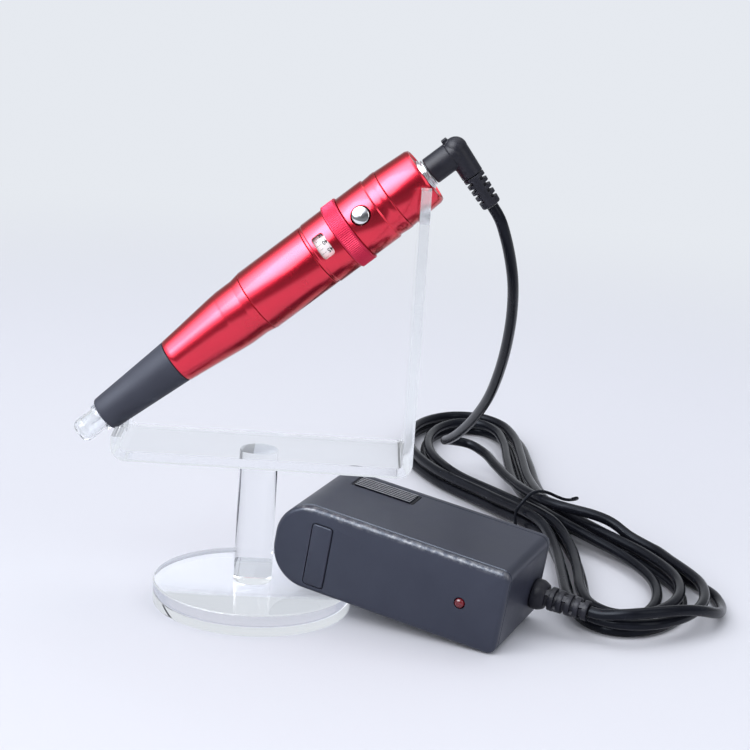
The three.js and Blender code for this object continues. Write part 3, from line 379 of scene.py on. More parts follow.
# Each finish: base and patch colours, roughness from and to, noise scales of grain and patches,
# strength and depth in mm of the bump, and what is plain on the shader
finishes = {
    "redAnodised": {
        "colors": ((0.8, 0.006, 0.041), (0.74, 0.005, 0.036)), "roughness": (0.22, 0.29),
        "plain": {
            "Metallic": 0.97, "Coat Weight": 0.85, "Coat Roughness": 0.17, "Coat IOR": 1.62,
            "Specular Tint": (0.35, 0.06, 0.09, 1),
        },
        "frame": penFrame, "grain": (9000, 90), "lineSize": 9000, "lineShare": 0.55, "bump": (0.12, 0.02),
    },
    "knurledRed": {
        "colors": ((0.64, 0.03, 0.085), (0.58, 0.025, 0.07)), "roughness": (0.42, 0.5),
        "plain": {
            "Metallic": 0.5, "Coat Weight": 0.2, "Coat Roughness": 0.3, "Specular Tint": (0.5, 0.12, 0.18, 1),
        },
        "frame": penFrame, "grain": (9000, 120), "bump": (0.12, 0.02),
    },
    "gripRubber": {
        "colors": ((0.03, 0.031, 0.046), (0.038, 0.04, 0.056)), "roughness": (0.52, 0.64),
        "plain": {"Specular IOR Level": 0.42, "Specular Tint": (0.85, 0.92, 1, 1)}, "frame": penFrame,
        "grain": (5000, 120), "bump": (0.25, 0.05),
    },
    "clearAcrylic": {
        "colors": ((0.975, 0.985, 0.99), (0.965, 0.98, 0.985)), "clearShadow": (0.95, 0.96, 0.975), **acrylic,
    },
    "tintedAcrylic": {
        "colors": ((0.91, 0.915, 0.91), (0.89, 0.9, 0.9)), "clearShadow": (0.93, 0.94, 0.955), **acrylic,
    },
    "acrylicEdge": {
        "colors": ((0.86, 0.88, 0.9), (0.82, 0.84, 0.87)), "roughness": (0.1, 0.2),
        "plain": {"Transmission Weight": 0.75, "IOR": 1.4}, "clearShadow": (0.92, 0.93, 0.95), "turns": 3.5,
        "grain": (2500, 60), "bump": (0.15, 0.05),
    },
    "clearPlastic": {
        "colors": ((0.95, 0.96, 0.97), (0.9, 0.92, 0.94)), "roughness": (0.03, 0.1),
        "plain": {"Transmission Weight": 0.95, "IOR": 1.45}, "clearShadow": (0.88, 0.89, 0.91), "turns": 4.5,
        "frame": penFrame, "grain": (1500, 150), "bump": (0.06, 0.04),
    },
    "chrome": {
        "colors": ((0.83, 0.84, 0.86), (0.78, 0.79, 0.82)), "roughness": (0.05, 0.1),
        "plain": {"Metallic": 1}, "frame": penFrame, "grain": (6000, 300), "bump": (0.04, 0.01),
    },
    "steel": {
        "colors": ((0.7, 0.71, 0.73), (0.6, 0.61, 0.64)), "roughness": (0.14, 0.24),
        "plain": {"Metallic": 1}, "frame": penFrame, "grain": (6000, 200),
        "lineSize": 8000, "lineShare": 0.7, "bump": (0.12, 0.02),
    },
    "brass": {
        "colors": ((0.62, 0.42, 0.15), (0.5, 0.33, 0.11)), "roughness": (0.22, 0.35),
        "plain": {"Metallic": 1}, "frame": penFrame, "grain": (5000, 200),
        "lineSize": 6000, "lineShare": 0.6, "bump": (0.12, 0.02),
    },
    "blackMoulding": {
        "colors": ((0.021, 0.0225, 0.038), (0.029, 0.031, 0.049)), "roughness": (0.34, 0.46),
        "plain": {"Specular IOR Level": 0.55, "Specular Tint": (0.78, 0.88, 1, 1), "Coat Roughness": 0.12},
        "frame": adapterFrame, "grain": (2600, 45), "bump": (0.3, 0.06),
        # pale band on the front top edge is partly wear and partly a painted highlight
        "edgeWearAndHighlight": {"edge": (0, 0.6, 26.1), "reach": 1.55, "breakSize": 600, "color": (0.16, 0.16, 0.175)},
    },
    # pale colour for the vent rib crests: a painted highlight
    "ribCrestPaintedHighlight": {
        "colors": ((0.2, 0.205, 0.23), (0.26, 0.265, 0.29)), "roughness": (0.3, 0.4),
        "frame": adapterFrame, "grain": (2600, 300), "bump": (0.2, 0.04),
    },
    "plugMoulding": {
        "colors": ((0.01, 0.0105, 0.017), (0.016, 0.0165, 0.025)), "roughness": (0.38, 0.5),
        "plain": {"Specular IOR Level": 0.3}, "frame": penFrame, "grain": (3500, 160), "bump": (0.25, 0.05),
    },
    "blackCable": {
        "colors": ((0.006, 0.0065, 0.01), (0.01, 0.011, 0.016)), "roughness": (0.2, 0.28),
        "plain": {"Specular IOR Level": 0.12, "Specular Tint": (0.85, 0.92, 1, 1)},
        "grain": (1800, 90), "bump": (0.12, 0.05),
    },
    "whiteDial": {
        "colors": ((0.93, 0.94, 0.95), (0.87, 0.88, 0.9)), "roughness": (0.3, 0.4),
        "plain": {"Coat Weight": 0.4, "Coat Roughness": 0.1}, "frame": penFrame,
        "grain": (4000, 250), "bump": (0.08, 0.02),
    },
    "dialInk": {
        "colors": ((0.01, 0.01, 0.012), (0.025, 0.025, 0.03)), "roughness": (0.5, 0.6),
        "frame": penFrame, "grain": (6000, 900), "bump": (0.1, 0.01),
    },
    "redLens": {
        "colors": ((0.1, 0.003, 0.009), (0.2, 0.006, 0.016)), "roughness": (0.1, 0.18),
        "plain": {"Coat Weight": 0.4, "Coat Roughness": 0.06}, "frame": adapterFrame,
        "grain": (3000, 700), "bump": (0.05, 0.02),
    },
    "boardGreen": {
        "colors": ((0.02, 0.1, 0.04), (0.03, 0.14, 0.06)), "roughness": (0.3, 0.5),
        "grain": (3000, 500), "bump": (0.2, 0.05),
    },
    "darkPart": {
        "colors": ((0.025, 0.027, 0.033), (0.04, 0.042, 0.05)), "roughness": (0.35, 0.55),
        "grain": (3500, 250), "bump": (0.2, 0.04),
    },
}
made = {name: makeFinish(name, recipe) for name, recipe in finishes.items()}
print("finishes made:", len(made))


# Carried-over CAD nodes, which sit inside the pen and the adapter
innerParts = {
    "brass": ["guide_bush", "motor_bearing", "motor_rotor"],
    "steel": [
        "needle_bar", "return_spring", "motor_can", "motor_shaft", "core_tube", "plug_barrel",
        "mains_blade_left", "mains_blade_right",
    ],
    "plugMoulding": ["motor_holder", "motor_end_cap", "drive_cam"],
    "boardGreen": ["circuit_board", "adapter_board"],
    "darkPart": ["push_switch", "dc_socket", "adapter_transformer", "adapter_capacitor"],
}
for finishName, nodeNames in innerParts.items():
    for nodeName in nodeNames:
        dress(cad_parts[nodeName], finishName)


# Cord: adapter lead, tied hank and free drop, one unbroken line
cordSpec = {"diameter": 3.5, "spacing": 2.4, "sides": 4}
leadRoute = [
    (102.55, -14.18, 8.67), (105.3, -15.31, 8.35), (108.4, -17, 9.1), (113, -18, 9.9), (118.5, -17.2, 10.4),
    (125, -14.6, 10.4), (131.2, -11.4, 10), (137.6, -6.8, 8.5), (143.2, 0.6, 5.4), (146.4, 9.5, 2.9),
    (147.6, 18, 1.9), (146.8, 26, 1.9), (143.5, 34, 1.9), (139.5, 40.6, 1.9), (137.05, 43.9, 1.9),
]
dropRoute = [
    (64.6, 0, 127.6), (66.9, 0, 124.4), (68.8, 1.5, 119.8), (71.1, 6, 112.6), (73.3, 13, 103),
    (74.6, 24, 91.5), (74.9, 36, 79.8), (74.4, 50, 67.3), (72.8, 68, 53), (69.8, 90, 39), (66.3, 110, 27.8),
    (63.4, 127, 20), (62, 138, 16), (64, 147.6, 13.4), (71.3, 150.4, 11.8), (77, 142.4, 10.9),
    (80.6, 128.5, 10.6), (84.6, 112, 10.8), (89.2, 95.5, 11.8), (96.4, 80, 12.9), (104, 73.9, 12.8),
    (111.2, 71.4, 12.1), (117.6, 69.2, 10.4), (122.9, 65.2, 7.6), (128, 59.9, 6.4), (131.8, 54.7, 6.05),
    (133.3, 51.1, 6),
]
hankSpec = {
    "centre": (97, 84), "turn": math.radians(101.5), "farReach": 137, "nearReach": 103, "farReachStep": 10,
    "nearReachStep": 8, "farBulge": 50, "nearBulge": 46, "bulgeStep": 11.2, "farBow": -9.5, "nearBow": 10,
    "waist": 9.4, "waistStep": 4.5, "layerRise": 4.05, "rest": 1.85, "waistLift": 2.3, "liftReach": 24,
    "startAngle": math.radians(115), "spiralTurns": 1.75, "climbTurns": 0.5, "reversal": 0.25,
    "waistSoftness": 0.16, "lobeBlend": 0.12, "turns": 4, "pointsPerTurn": 24,
}


def fromHankFrame(lengthwise, sideways, height):
    c, s = math.cos(hankSpec["turn"]), math.sin(hankSpec["turn"])
    x, y = hankSpec["centre"]
    return Vector((x + c * lengthwise + s * sideways, y + s * lengthwise - c * sideways, height))


def hankPoint(turns):
    spec = hankSpec
    angle = spec["startAngle"] - 2 * math.pi * turns
    along, across = math.cos(angle), math.sin(angle)
    climbed = (turns - spec["spiralTurns"]) / spec["climbTurns"]
    inset = turns
    if climbed >= 1:
        inset = spec["turns"] - turns
    elif climbed > 0:
        inset = spec["spiralTurns"] + spec["reversal"] * math.sin(math.pi * climbed)
    layer = min(max(climbed, 0), 1)
    layer = layer * layer * (3 - 2 * layer)
    soft = spec["waistSoftness"]
    opened = (math.hypot(along, soft) - soft) / (math.hypot(1, soft) - soft)
    far = (1 + math.tanh(along / spec["lobeBlend"])) / 2
    farReach = spec["farReach"] - inset * spec["farReachStep"]
    nearReach = spec["nearReach"] - inset * spec["nearReachStep"]
    reach = far * farReach + (1 - far) * nearReach
    bulge = far * spec["farBulge"] + (1 - far) * spec["nearBulge"] - inset * spec["bulgeStep"]
    waist = spec["waist"] - inset * spec["waistStep"]
    bow = (spec["farBow"] if along > 0 else spec["nearBow"]) * math.sin(math.pi * abs(along))
    lengthwise = reach * along
    sideways = across * (waist * (1 - opened) + bulge * opened) + bow
    lift = spec["waistLift"] * math.exp(-((lengthwise / spec["liftReach"]) ** 2))
    return fromHankFrame(lengthwise, sideways, spec["rest"] + layer * spec["layerRise"] + lift)


def smoothLine(points, spacing):
    points = [Vector(p) for p in points]
    ends = [2 * points[0] - points[1], *points, 2 * points[-1] - points[-2]]
    dense = []
    for i in range(1, len(ends) - 2):
        a, b, c, d = ends[i - 1 : i + 3]
        t1 = (b - a).length ** 0.5
        t2 = t1 + (c - b).length ** 0.5
        t3 = t2 + (d - c).length ** 0.5
        steps = max(4, round((c - b).length / 0.4))
        for j in range(steps):
            t = t1 + (t2 - t1) * j / steps
            ab = (a * (t1 - t) + b * t) / t1
            bc = (b * (t2 - t) + c * (t - t1)) / (t2 - t1)
            cd = (c * (t3 - t) + d * (t - t2)) / (t3 - t2)
            abc = (ab * (t2 - t) + bc * t) / t2
            bcd = (bc * (t3 - t) + cd * (t - t1)) / (t3 - t1)
            dense.append((abc * (t2 - t) + bcd * (t - t1)) / (t2 - t1))
    dense.append(points[-1])
    travelled = [0.0]
    for p, q in zip(dense, dense[1:]):
        travelled.append(travelled[-1] + (q - p).length)
    count = max(8, round(travelled[-1] / spacing))
    line, k = [], 0
    for i in range(count + 1):
        goal = travelled[-1] * i / count
        while k < len(dense) - 2 and travelled[k + 1] < goal:
            k += 1
        span = travelled[k + 1] - travelled[k]
        line.append(dense[k].lerp(dense[k + 1], (goal - travelled[k]) / span))
    return line, travelled[-1]


def tubeCurve(name, line, diameter, sides):
    curve = bpy.data.curves.new(name, "CURVE")
    curve.dimensions = "3D"
    curve.bevel_depth = diameter / 2 * mm
    curve.bevel_resolution = sides
    curve.resolution_u = 2
    curve.use_fill_caps = True
    spline = curve.splines.new("NURBS")
    spline.points.add(len(line) - 1)
    for point, place in zip(spline.points, line):
        point.co = (*(place * mm), 1)
    spline.order_u = 4
    spline.use_endpoint_u = True
    tube = bpy.data.objects.new(name, curve)
    bpy.context.scene.collection.objects.link(tube)
    return tube


perTurn = hankSpec["pointsPerTurn"]
hankPoints = [hankPoint(i / perTurn) for i in range(hankSpec["turns"] * perTurn + 1)]
cordLine, cordLength = smoothLine([*leadRoute, *hankPoints, *reversed(dropRoute)], cordSpec["spacing"])
supplyCord = tubeCurve("supply_cord", cordLine, cordSpec["diameter"], cordSpec["sides"])
dress(supplyCord, "blackCable")
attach(supplyCord, "root")
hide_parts("cord_drop", "cord_adapter_lead", "cord_hank")
print(f"cord laid: {cordLength:.0f} mm")

# Thin tie round the waist of the hank
tieSpec = {"diameter": 1.1, "spacing": 0.9, "sides": 3}
tieRoute = [
    (-1.3, 9, 10), (-1.3, 13.2, 6.4), (-1.2, 14.6, 3.4), (-0.9, 13.1, 0.9), (-0.6, 8, 0.62), (-0.3, 0, 0.62),
    (0.2, -7.4, 0.62), (0.3, -10.4, 1.6), (0.3, -11.4, 4.6), (0.3, -11.2, 8.4), (0.3, -9.1, 11.6),
    (0.4, -6.3, 14.6), (0.5, -3.6, 15.4), (0.8, -0.2, 14.7), (1.2, 3.6, 13), (1.4, 6.6, 12), (0.9, 8.9, 12.2),
    (-0.5, 10, 13), (-2.1, 9.2, 13.8), (-2.8, 7.4, 13.6),
]
tieLine, _ = smoothLine([fromHankFrame(*point) for point in tieRoute], tieSpec["spacing"])
hankTie = tubeCurve("hank_tie", tieLine, tieSpec["diameter"], tieSpec["sides"])
pickOnly(hankTie)
bpy.ops.object.convert(target="MESH")
hand(hankTie, "root", "cord_tie", "blackCable")


# Clear stand
standSpec = {
    "footRadius": 30.5, "footHeight": 6.86, "footEdge": 0.6,
    "postRadius": 5.86, "postBottom": 7.16, "postTop": 46.7, "postEdge": 0.25,
    "sheet": 3, "plateMiddle": 48.5, "left": -43.2, "right": 46.2, "front": -15.7, "back": 15.3, "bend": 3,
    "lipTop": 54.4, "uprightTop": 133.26, "frontSeat": 51.8, "rearSeat": 121.66, "frontNotch": 6.3,
    "rearNotch": 10.3, "overrun": 2, "bendSteps": 10, "edgeStart": 2.5, "edgeLean": 0.6, "edgeArea": 2e-4,
}


def makeStand():
    spec = standSpec
    for name, node, finishName, sides, edge, segments, rings in (
        ("stand_foot_clear", "stand_foot", "tintedAcrylic", 160, spec["footEdge"], 4, [
            (spec["footRadius"], 0), (spec["footRadius"], spec["footHeight"]),
        ]),
        ("stand_post_clear", "stand_post", "clearAcrylic", 96, spec["postEdge"], 3, [
            (spec["postRadius"], spec["postBottom"]), (spec["postRadius"], spec["postTop"]),
        ]),
    ):
        disc = turnPiece(name, rings, sides, True)
        softenEdges(disc, edge, segments)
        hand(disc, "root", node, finishName)

    # the cradle is one strip of sheet, bent up at both ends
    half = spec["sheet"] / 2
    leftMiddle, rightMiddle = spec["left"] + half, spec["right"] - half
    pickNothing()
    bpy.ops.mesh.primitive_plane_add(size=1, location=(0, 0, 0))
    cradle = bpy.context.object
    cradle.name = cradle.data.name = "stand_cradle_clear"
    lipBottom = spec["plateMiddle"] + spec["bend"]
    for corner in cradle.data.vertices:
        x, y = corner.co.x, corner.co.y
        corner.co = Vector((
            leftMiddle, spec["front"] if y < 0 else spec["back"], spec["lipTop"] if x < 0 else lipBottom,
        )) * mm
    pickParts(cradle, "VERT", lambda place: place.z < (lipBottom + 0.1) * mm)
    plateLength = rightMiddle - leftMiddle - 2 * spec["bend"]
    for bendX, onward in (
        (leftMiddle + spec["bend"], (plateLength, 0, 0)),
        (rightMiddle - spec["bend"], (0, 0, spec["uprightTop"] - lipBottom)),
    ):
        bpy.ops.mesh.spin(
            steps=spec["bendSteps"], angle=math.radians(90), center=Vector((bendX, 0, lipBottom)) * mm,
            axis=(0, 1, 0),
        )
        bpy.ops.mesh.extrude_region_move(TRANSFORM_OT_translate={"value": Vector(onward) * mm})
    cleanSkin(cradle)
    applyModifier(cradle, "SOLIDIFY", thickness=spec["sheet"] * mm, offset=0, use_even_offset=True)
    cleanSkin(cradle)
    for wallX, seat, radius, top in (
        (leftMiddle, spec["frontSeat"], spec["frontNotch"], spec["lipTop"]),
        (rightMiddle, spec["rearSeat"], spec["rearNotch"], spec["uprightTop"]),
    ):
        reach = half + spec["overrun"]
        notch = turnPiece("notchCutter", [(radius, -reach), (radius, reach)], 96, True)
        settle(notch, moved(wallX, 0, seat + radius) @ turned(90, "Y"))
        combine(cradle, notch, "DIFFERENCE")
        if top > seat + radius:
            low = (wallX - reach, -radius, seat + radius)
            high = (wallX + reach, radius, top + spec["overrun"])
            combine(cradle, boxPiece("gapCutter", low, high), "DIFFERENCE")
    cleanSkin(cradle)
    hand(cradle, "root", "stand_cradle", "clearAcrylic", 20)
    # cut edges of the sheet are sawn and sanded, and show white
    cradle.data.materials.append(made["acrylicEdge"])
    for face in cradle.data.polygons:
        sideways = abs(face.normal.y) > spec["edgeLean"] and face.area < spec["edgeArea"]
        topOrNotch = face.normal.z > spec["edgeLean"] or abs(face.normal.x) < 0.1
        if sideways or (topOrNotch and face.center.z > (spec["plateMiddle"] + spec["edgeStart"]) * mm):
            face.material_index = 1


makeStand()
print("stand made")


# Pen
penSpec = {
    "window": {
        "start": 83.3, "end": 87.3, "halfWidth": 3.74, "turn": 15, "corner": 0.9, "cutFrom": 5, "cutTo": 15,
    },
    "ring": {
        "start": 90.02, "end": 94.93, "radius": 10.75, "bore": 6.95, "teeth": 112, "depth": 0.13,
        "land": 0.45, "rim": 0.2, "step": 0.12, "lowered": 0.02, "margin": 0.05, "groove": (0.4, 0.9),
    },
    "drum": {"start": 81.7, "end": 89.8, "radius": 8.55},
    "button": {
        "station": 99.45, "turn": 18.6, "radius": 2.6, "clearance": 0.35, "crown": 10.9, "dome": 0.65,
        "domeSteps": 8, "flange": [(3.3, 6.95), (3.3, 7.35)], "hole": [(0, 5), (0, 9.7), (1, 12)],
    },
}
# Radius and station along each turned shell; a curved outside is given apart, with the point before it
shellSpec = {
    "nose_grip_black": {
        "slot": "grip_rubber", "finish": "gripRubber", "sides": 96, "soft": 0.2,
        "start": (4.0, 0), "outside": [(5.13, 0), (5.4, 0.6), (5.72, 6), (6.75, 22.9), (7.04, 27.5)],
        "rest": [(5.5, 27.5), (5.5, 33), (4.55, 33), (4.55, 17.2), (2.65, 17.2), (2.65, 8), (4.0, 8)],
    },
    "front_sleeve_red": {
        "sides": 128, "start": (5.8, 27.8),
        "outside": [(7.15, 27.8), (7.7, 33.4), (8.22, 38.2), (8.7, 42.6), (9.06, 46), (9.35, 49.3)],
        "rest": [
            (9.4, 49.5), (9.4, 55.3), (9.42, 55.5), (9.84, 57.95), (9.84, 58.05), (9.74, 58.2), (8.13, 58.2),
            (8.13, 52.8), (5.8, 42.6),
        ],
    },
    "barrel_red": {
        "sides": 128, "rest": [
            (7.83, 58.32), (9.8, 58.32), (10, 58.5), (10, 81.05), (9.85, 81.18), (8.4, 81.18), (8.4, 58.4),
            (6.23, 56.8), (6.23, 53.1), (7.83, 53.1),
        ],
    },
    "window_collar_red": {
        "sides": 160, "soft": 0.06, "rest": [
            (8.9, 81.3), (9.85, 81.3), (10, 81.42), (10, 82.1), (10.2, 82.35), (10.2, 89.8), (10.1, 89.9),
            (8.9, 89.9),
        ],
    },
    "button_housing_red": {
        "sides": 160, "soft": 0.06, "rest": [
            (6.95, 95.05), (9.95, 95.05), (10.15, 95.25), (10.15, 104.2), (10.1, 104.3), (9.74, 104.65),
            (9.7, 104.75), (9.92, 107.3), (9.95, 107.5), (9.95, 108.9), (9.8, 109.1), (8.45, 109.1),
            (8.45, 95.85), (6.95, 95.85),
        ],
    },
    "rear_cap_red": {
        "sides": 128, "rest": [
            (8.15, 109.22), (9.72, 109.22), (9.8, 109.34), (9.2, 119.8), (8.75, 120.8), (8.5, 120.8),
            (8.2, 120.25), (5.3, 120.25), (5.3, 118.8), (6.85, 118.8), (6.85, 104.55), (8.15, 104.55),
        ],
    },
    "end_plate_silver": {
        "slot": "steel", "finish": "steel", "sides": 96, "soft": 0.06, "rest": [
            (3.1, 119.2), (5, 119.2), (5, 120.95), (4.9, 121.05), (4.55, 121.05), (4.55, 121.35),
            (4.45, 121.45), (3.7, 121.45), (3.7, 121.8), (4.2, 121.8), (4.3, 121.9), (4.2, 122.2),
            (3.1, 122.2),
        ],
    },
}


def outOfPen(station, turn):
    return penFrame @ moved(0, 0, station) @ turned(-turn, "Z") @ turned(90, "X")


def windowCutter():
    window = penSpec["window"]
    middle = (window["start"] + window["end"]) / 2
    halfLength = (window["end"] - window["start"]) / 2
    halfWidth = window["halfWidth"]
    low, high = (-halfWidth, -halfLength, window["cutFrom"]), (halfWidth, halfLength, window["cutTo"])
    cutter = boxPiece("windowCutter", low, high)
    bevelEdges(cutter, window["corner"], 5, lambda a, b: abs(a.z - b.z) > halfLength * mm)
    return settle(cutter, penFrame.inverted() @ outOfPen(middle, window["turn"]))


def buttonHoleCutter():
    button = penSpec["button"]
    radius = button["radius"] + button["clearance"]
    rings = [(radius + flare, height) for flare, height in button["hole"]]
    cutter = turnPiece("holeCutter", rings, 64, True)
    return settle(cutter, penFrame.inverted() @ outOfPen(button["station"], button["turn"]))


def makePenShells():
    cutters = {"window_collar_red": windowCutter, "button_housing_red": buttonHoleCutter}
    for name, shell in shellSpec.items():
        curved = [shell["start"], *smoothRings(shell["outside"], 4)] if "outside" in shell else []
        piece = turnPiece(name, curved + shell["rest"], shell["sides"])
        softenEdges(piece, shell.get("soft", 0.08), 2)
        if name in cutters:
            combine(piece, cutters[name](), "DIFFERENCE")
        settle(piece, penFrame)
        node = name.rsplit("_", 1)[0]
        hand(piece, "root", node, shell.get("finish", "redAnodised"))


def makeAdjuster():
    ring, drum = penSpec["ring"], penSpec["drum"]
    sides = ring["teeth"] * 4
    r, start, end, land, bore, rim = (ring[key] for key in ("radius", "start", "end", "land", "bore", "rim"))
    band, inset = r - ring["lowered"], land + ring["step"]
    body = turnPiece("adjusting_ring_red", [
        (bore, start), (r - rim, start), (r, start + rim), (r, start + land), (band, start + inset),
        (band, end - inset), (r, end - land), (r, end - rim), (r - rim, end), (bore, end),
    ], sides)
    # every other pair of lines on the band is drawn in, which leaves fine teeth
    def inGroove(place):
        tooth = math.atan2(place.y, place.x) / (2 * math.pi) * ring["teeth"]
        onBand = (start + land + ring["margin"]) * mm < place.z < (end - land - ring["margin"]) * mm
        outside = place.xy.length > (bore + r) / 2 * mm
        return onBand and outside and ring["groove"][0] < tooth % 1 < ring["groove"][1]
    pickParts(body, "VERT", inGroove)
    shrink = 1 - ring["depth"] / r
    bpy.ops.transform.resize(value=(shrink, shrink, 1), center_override=(0, 0, 0))
    closeMesh()
    settle(body, penFrame)
    hand(body, "adjuster", "adjusting_ring", "knurledRed", 20)

    r, start, end = drum["radius"], drum["start"], drum["end"]
    body = turnPiece("scale_drum_white", [(bore, start), (r, start), (r, end), (bore, end)], 128)
    softenEdges(body, 0.1, 2)
    settle(body, penFrame)
    hand(body, "adjuster", "scale_drum", "whiteDial")


dialSpec = {
    "radius": 8.56, "count": 20, "perMark": 5, "digit": 1.75, "bold": 0.035, "raise": 0.02,
    "digitStation": 86.3, "lineStation": 84.25, "lineReaches": (0.8, 0.5), "lineHalf": 0.045,
}


def makeDialMarks():
    dial = dialSpec
    radius, half, count = dial["radius"], dial["lineHalf"], dial["count"]
    marks = []
    for i in range(count):
        # numbers read from the rear of the pen, one every two lines
        angle = 2 * math.pi * i / count + math.radians(90 + penSpec["window"]["turn"])
        pickNothing()
        bpy.ops.object.text_add(location=(0, 0, 0))
        text = bpy.context.object.data
        text.body = str(i * dial["perMark"])
        text.size = dial["digit"] * mm
        text.offset = dial["bold"] * mm
        text.align_x = text.align_y = "CENTER"
        text.extrude = dial["raise"] / 2 * mm
        bpy.ops.object.convert(target="MESH")
        label = bpy.context.object
        for corner in label.data.vertices:
            # reading direction runs along the pen, height of the digits round it
            x, y, z = corner.co
            wrap, reach = angle + y / (radius * mm), radius * mm + z
            station = dial["digitStation"] * mm - x
            corner.co = Vector((reach * math.cos(wrap), reach * math.sin(wrap), station))
        marks.append(label)
        for k, length in enumerate(dial["lineReaches"]):
            low, high = (radius - dial["raise"], -half, -length), (radius + dial["raise"], half, length)
            tick = boxPiece("tick", low, high)
            turn = math.degrees(angle + math.pi * k / count)
            marks.append(settle(tick, moved(0, 0, dial["lineStation"]) @ turned(turn, "Z")))
    pickNothing()
    for mark in marks:
        mark.select_set(True)
    bpy.context.view_layer.objects.active = marks[0]
    bpy.ops.object.join()
    printed = bpy.context.object
    printed.name = printed.data.name = "drum_numbers"
    settle(printed, penFrame)
    cleanSkin(printed)
    shadeSmooth(printed)
    dress(printed, "dialInk")
    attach(printed, "adjuster")


def makeButton():
    spec = penSpec["button"]
    crown, dome, r, steps = spec["crown"], spec["dome"], spec["radius"], spec["domeSteps"]
    rings = [*spec["flange"], (r, spec["flange"][1][1]), (r, crown - dome)]
    bow = (r * r + dome * dome) / (2 * dome)
    for step in range(1, steps + 1):
        radius = r * (1 - step / (steps + 1))
        rings.append((radius, crown - bow + math.sqrt(bow * bow - radius * radius)))
    button = turnPiece("power_button_chrome", rings, 64, True)
    softenEdges(button, 0.12, 3, 40)
    settle(button, outOfPen(spec["station"], spec["turn"]))
    hand(button, "button", "power_button", "chrome")


needleSpec = {
    "cap": [
        (1.3, -9.8), (2.0, -9.8), (2.75, -9.55), (3.35, -8.9), (3.7, -8.1), (3.7, -6.2), (3.6, -6.05),
        (3.6, -5.75), (3.7, -5.6), (3.7, -1.8), (4.45, -1.8), (4.45, -0.3), (3.7, -0.3), (3.7, 5.2),
        (2.95, 5.2), (2.95, -7.9), (2.4, -8.7), (1.6, -9.05), (1.3, -9.05),
    ],
    "needle": [(0.04, -5.2), (0.3, -3.6), (0.3, 7.6)],
    "hub": [
        (0.6, 5.4), (1.9, 5.4), (2.3, 5.8), (2.3, 9), (2.05, 9.2), (2.05, 10.4), (2.3, 10.6), (2.3, 12.4),
        (0.6, 12.4),
    ],
}


def makeNeedle():
    cap = turnPiece("needle_cap_clear", needleSpec["cap"])
    softenEdges(cap, 0.08, 2)
    settle(cap, penFrame)
    hand(cap, "cap", "needle_cap", "clearPlastic")
    needle = turnPiece("needle_point", needleSpec["needle"], 24, True)
    settle(needle, penFrame)
    hand(needle, "needle", "needle", "steel")
    hub = turnPiece("needle_hub_clear", needleSpec["hub"], 48)
    softenEdges(hub, 0.06, 2)
    settle(hub, penFrame)
    hand(hub, "needle", "needle_hub", "clearPlastic")


makePenShells()
makeAdjuster()
makeDialMarks()
makeButton()
makeNeedle()
print("pen made")


# Angled plug
plugSpec = {
    "neck": [
        (3.95, 122.5), (4.2, 122.75), (4.2, 130), (4.05, 130.2), (3.88, 130.3), (3.86, 132.1),
        (3.62, 132.35), (3.5, 132.6), (3.2, 133.6), (2.4, 134.7), (1, 135.5),
    ],
    "elbow": (-0.98, 132.47), "ball": 3.55, "legTilt": 94.16, "leg": [(3.45, 0), (3.45, 3), (3.35, 9.2)],
    "nub": {"low": (-5.35, -1.15, 130.25), "high": (-2.5, 1.15, 132.1)}, "voxel": 0.15,
    "relief": [(1.9, 9.5), (3.3, 9.5), (3.3, 10.4), (2.95, 19.4), (2.75, 19.8), (1.9, 19.8)],
    "core": [(1.6, 9.7), (2.2, 9.7), (2.05, 19.6), (1.6, 19.6)],
    "slots": 4, "firstSlot": 10.62, "slotPitch": 2.03, "slotWidth": 0.95, "strip": 1.25, "slotReach": 6,
}


def makePlug():
    spec = plugSpec
    side, station = spec["elbow"]
    neck = turnPiece("plug_elbow_black", spec["neck"], 64, True)
    pickNothing()
    bpy.ops.mesh.primitive_uv_sphere_add(
        segments=48, ring_count=24, radius=spec["ball"] * mm, location=(side * mm, 0, station * mm)
    )
    ball = settle(bpy.context.object)
    toLeg = moved(side, 0, station) @ turned(spec["legTilt"], "Y")
    leg = settle(turnPiece("plugLeg", spec["leg"], 64, True), toLeg)
    nub = boxPiece("plugNub", spec["nub"]["low"], spec["nub"]["high"])
    softenEdges(nub, 0.25, 2)
    for other in (ball, leg, nub):
        combine(neck, other, "UNION")
    applyModifier(neck, "REMESH", mode="VOXEL", voxel_size=spec["voxel"] * mm)
    applyModifier(neck, "SMOOTH", factor=0.5, iterations=2)
    settle(neck, penFrame)
    hand(neck, "root", "plug_elbow", "plugMoulding", 60)

    # strain relief: a taper cut by slots from both sides, with a strip left down its middle
    relief = turnPiece("plug_strain_relief_black", spec["relief"], 64)
    softenEdges(relief, 0.15, 2)
    reach = spec["slotReach"]
    for i in range(spec["slots"]):
        low = spec["firstSlot"] + i * spec["slotPitch"]
        high = low + spec["slotWidth"]
        for turn in (0, 180):
            slot = boxPiece("slotCutter", (spec["strip"], -reach, low), (reach, reach, high))
            settle(slot, turned(turn, "Z"))
            combine(relief, slot, "DIFFERENCE")
    combine(relief, turnPiece("reliefCore", spec["core"], 48), "UNION")
    settle(relief, penFrame @ toLeg)
    hand(relief, "root", "plug_strain_relief", "plugMoulding", 30)


makePlug()
print("plug made")


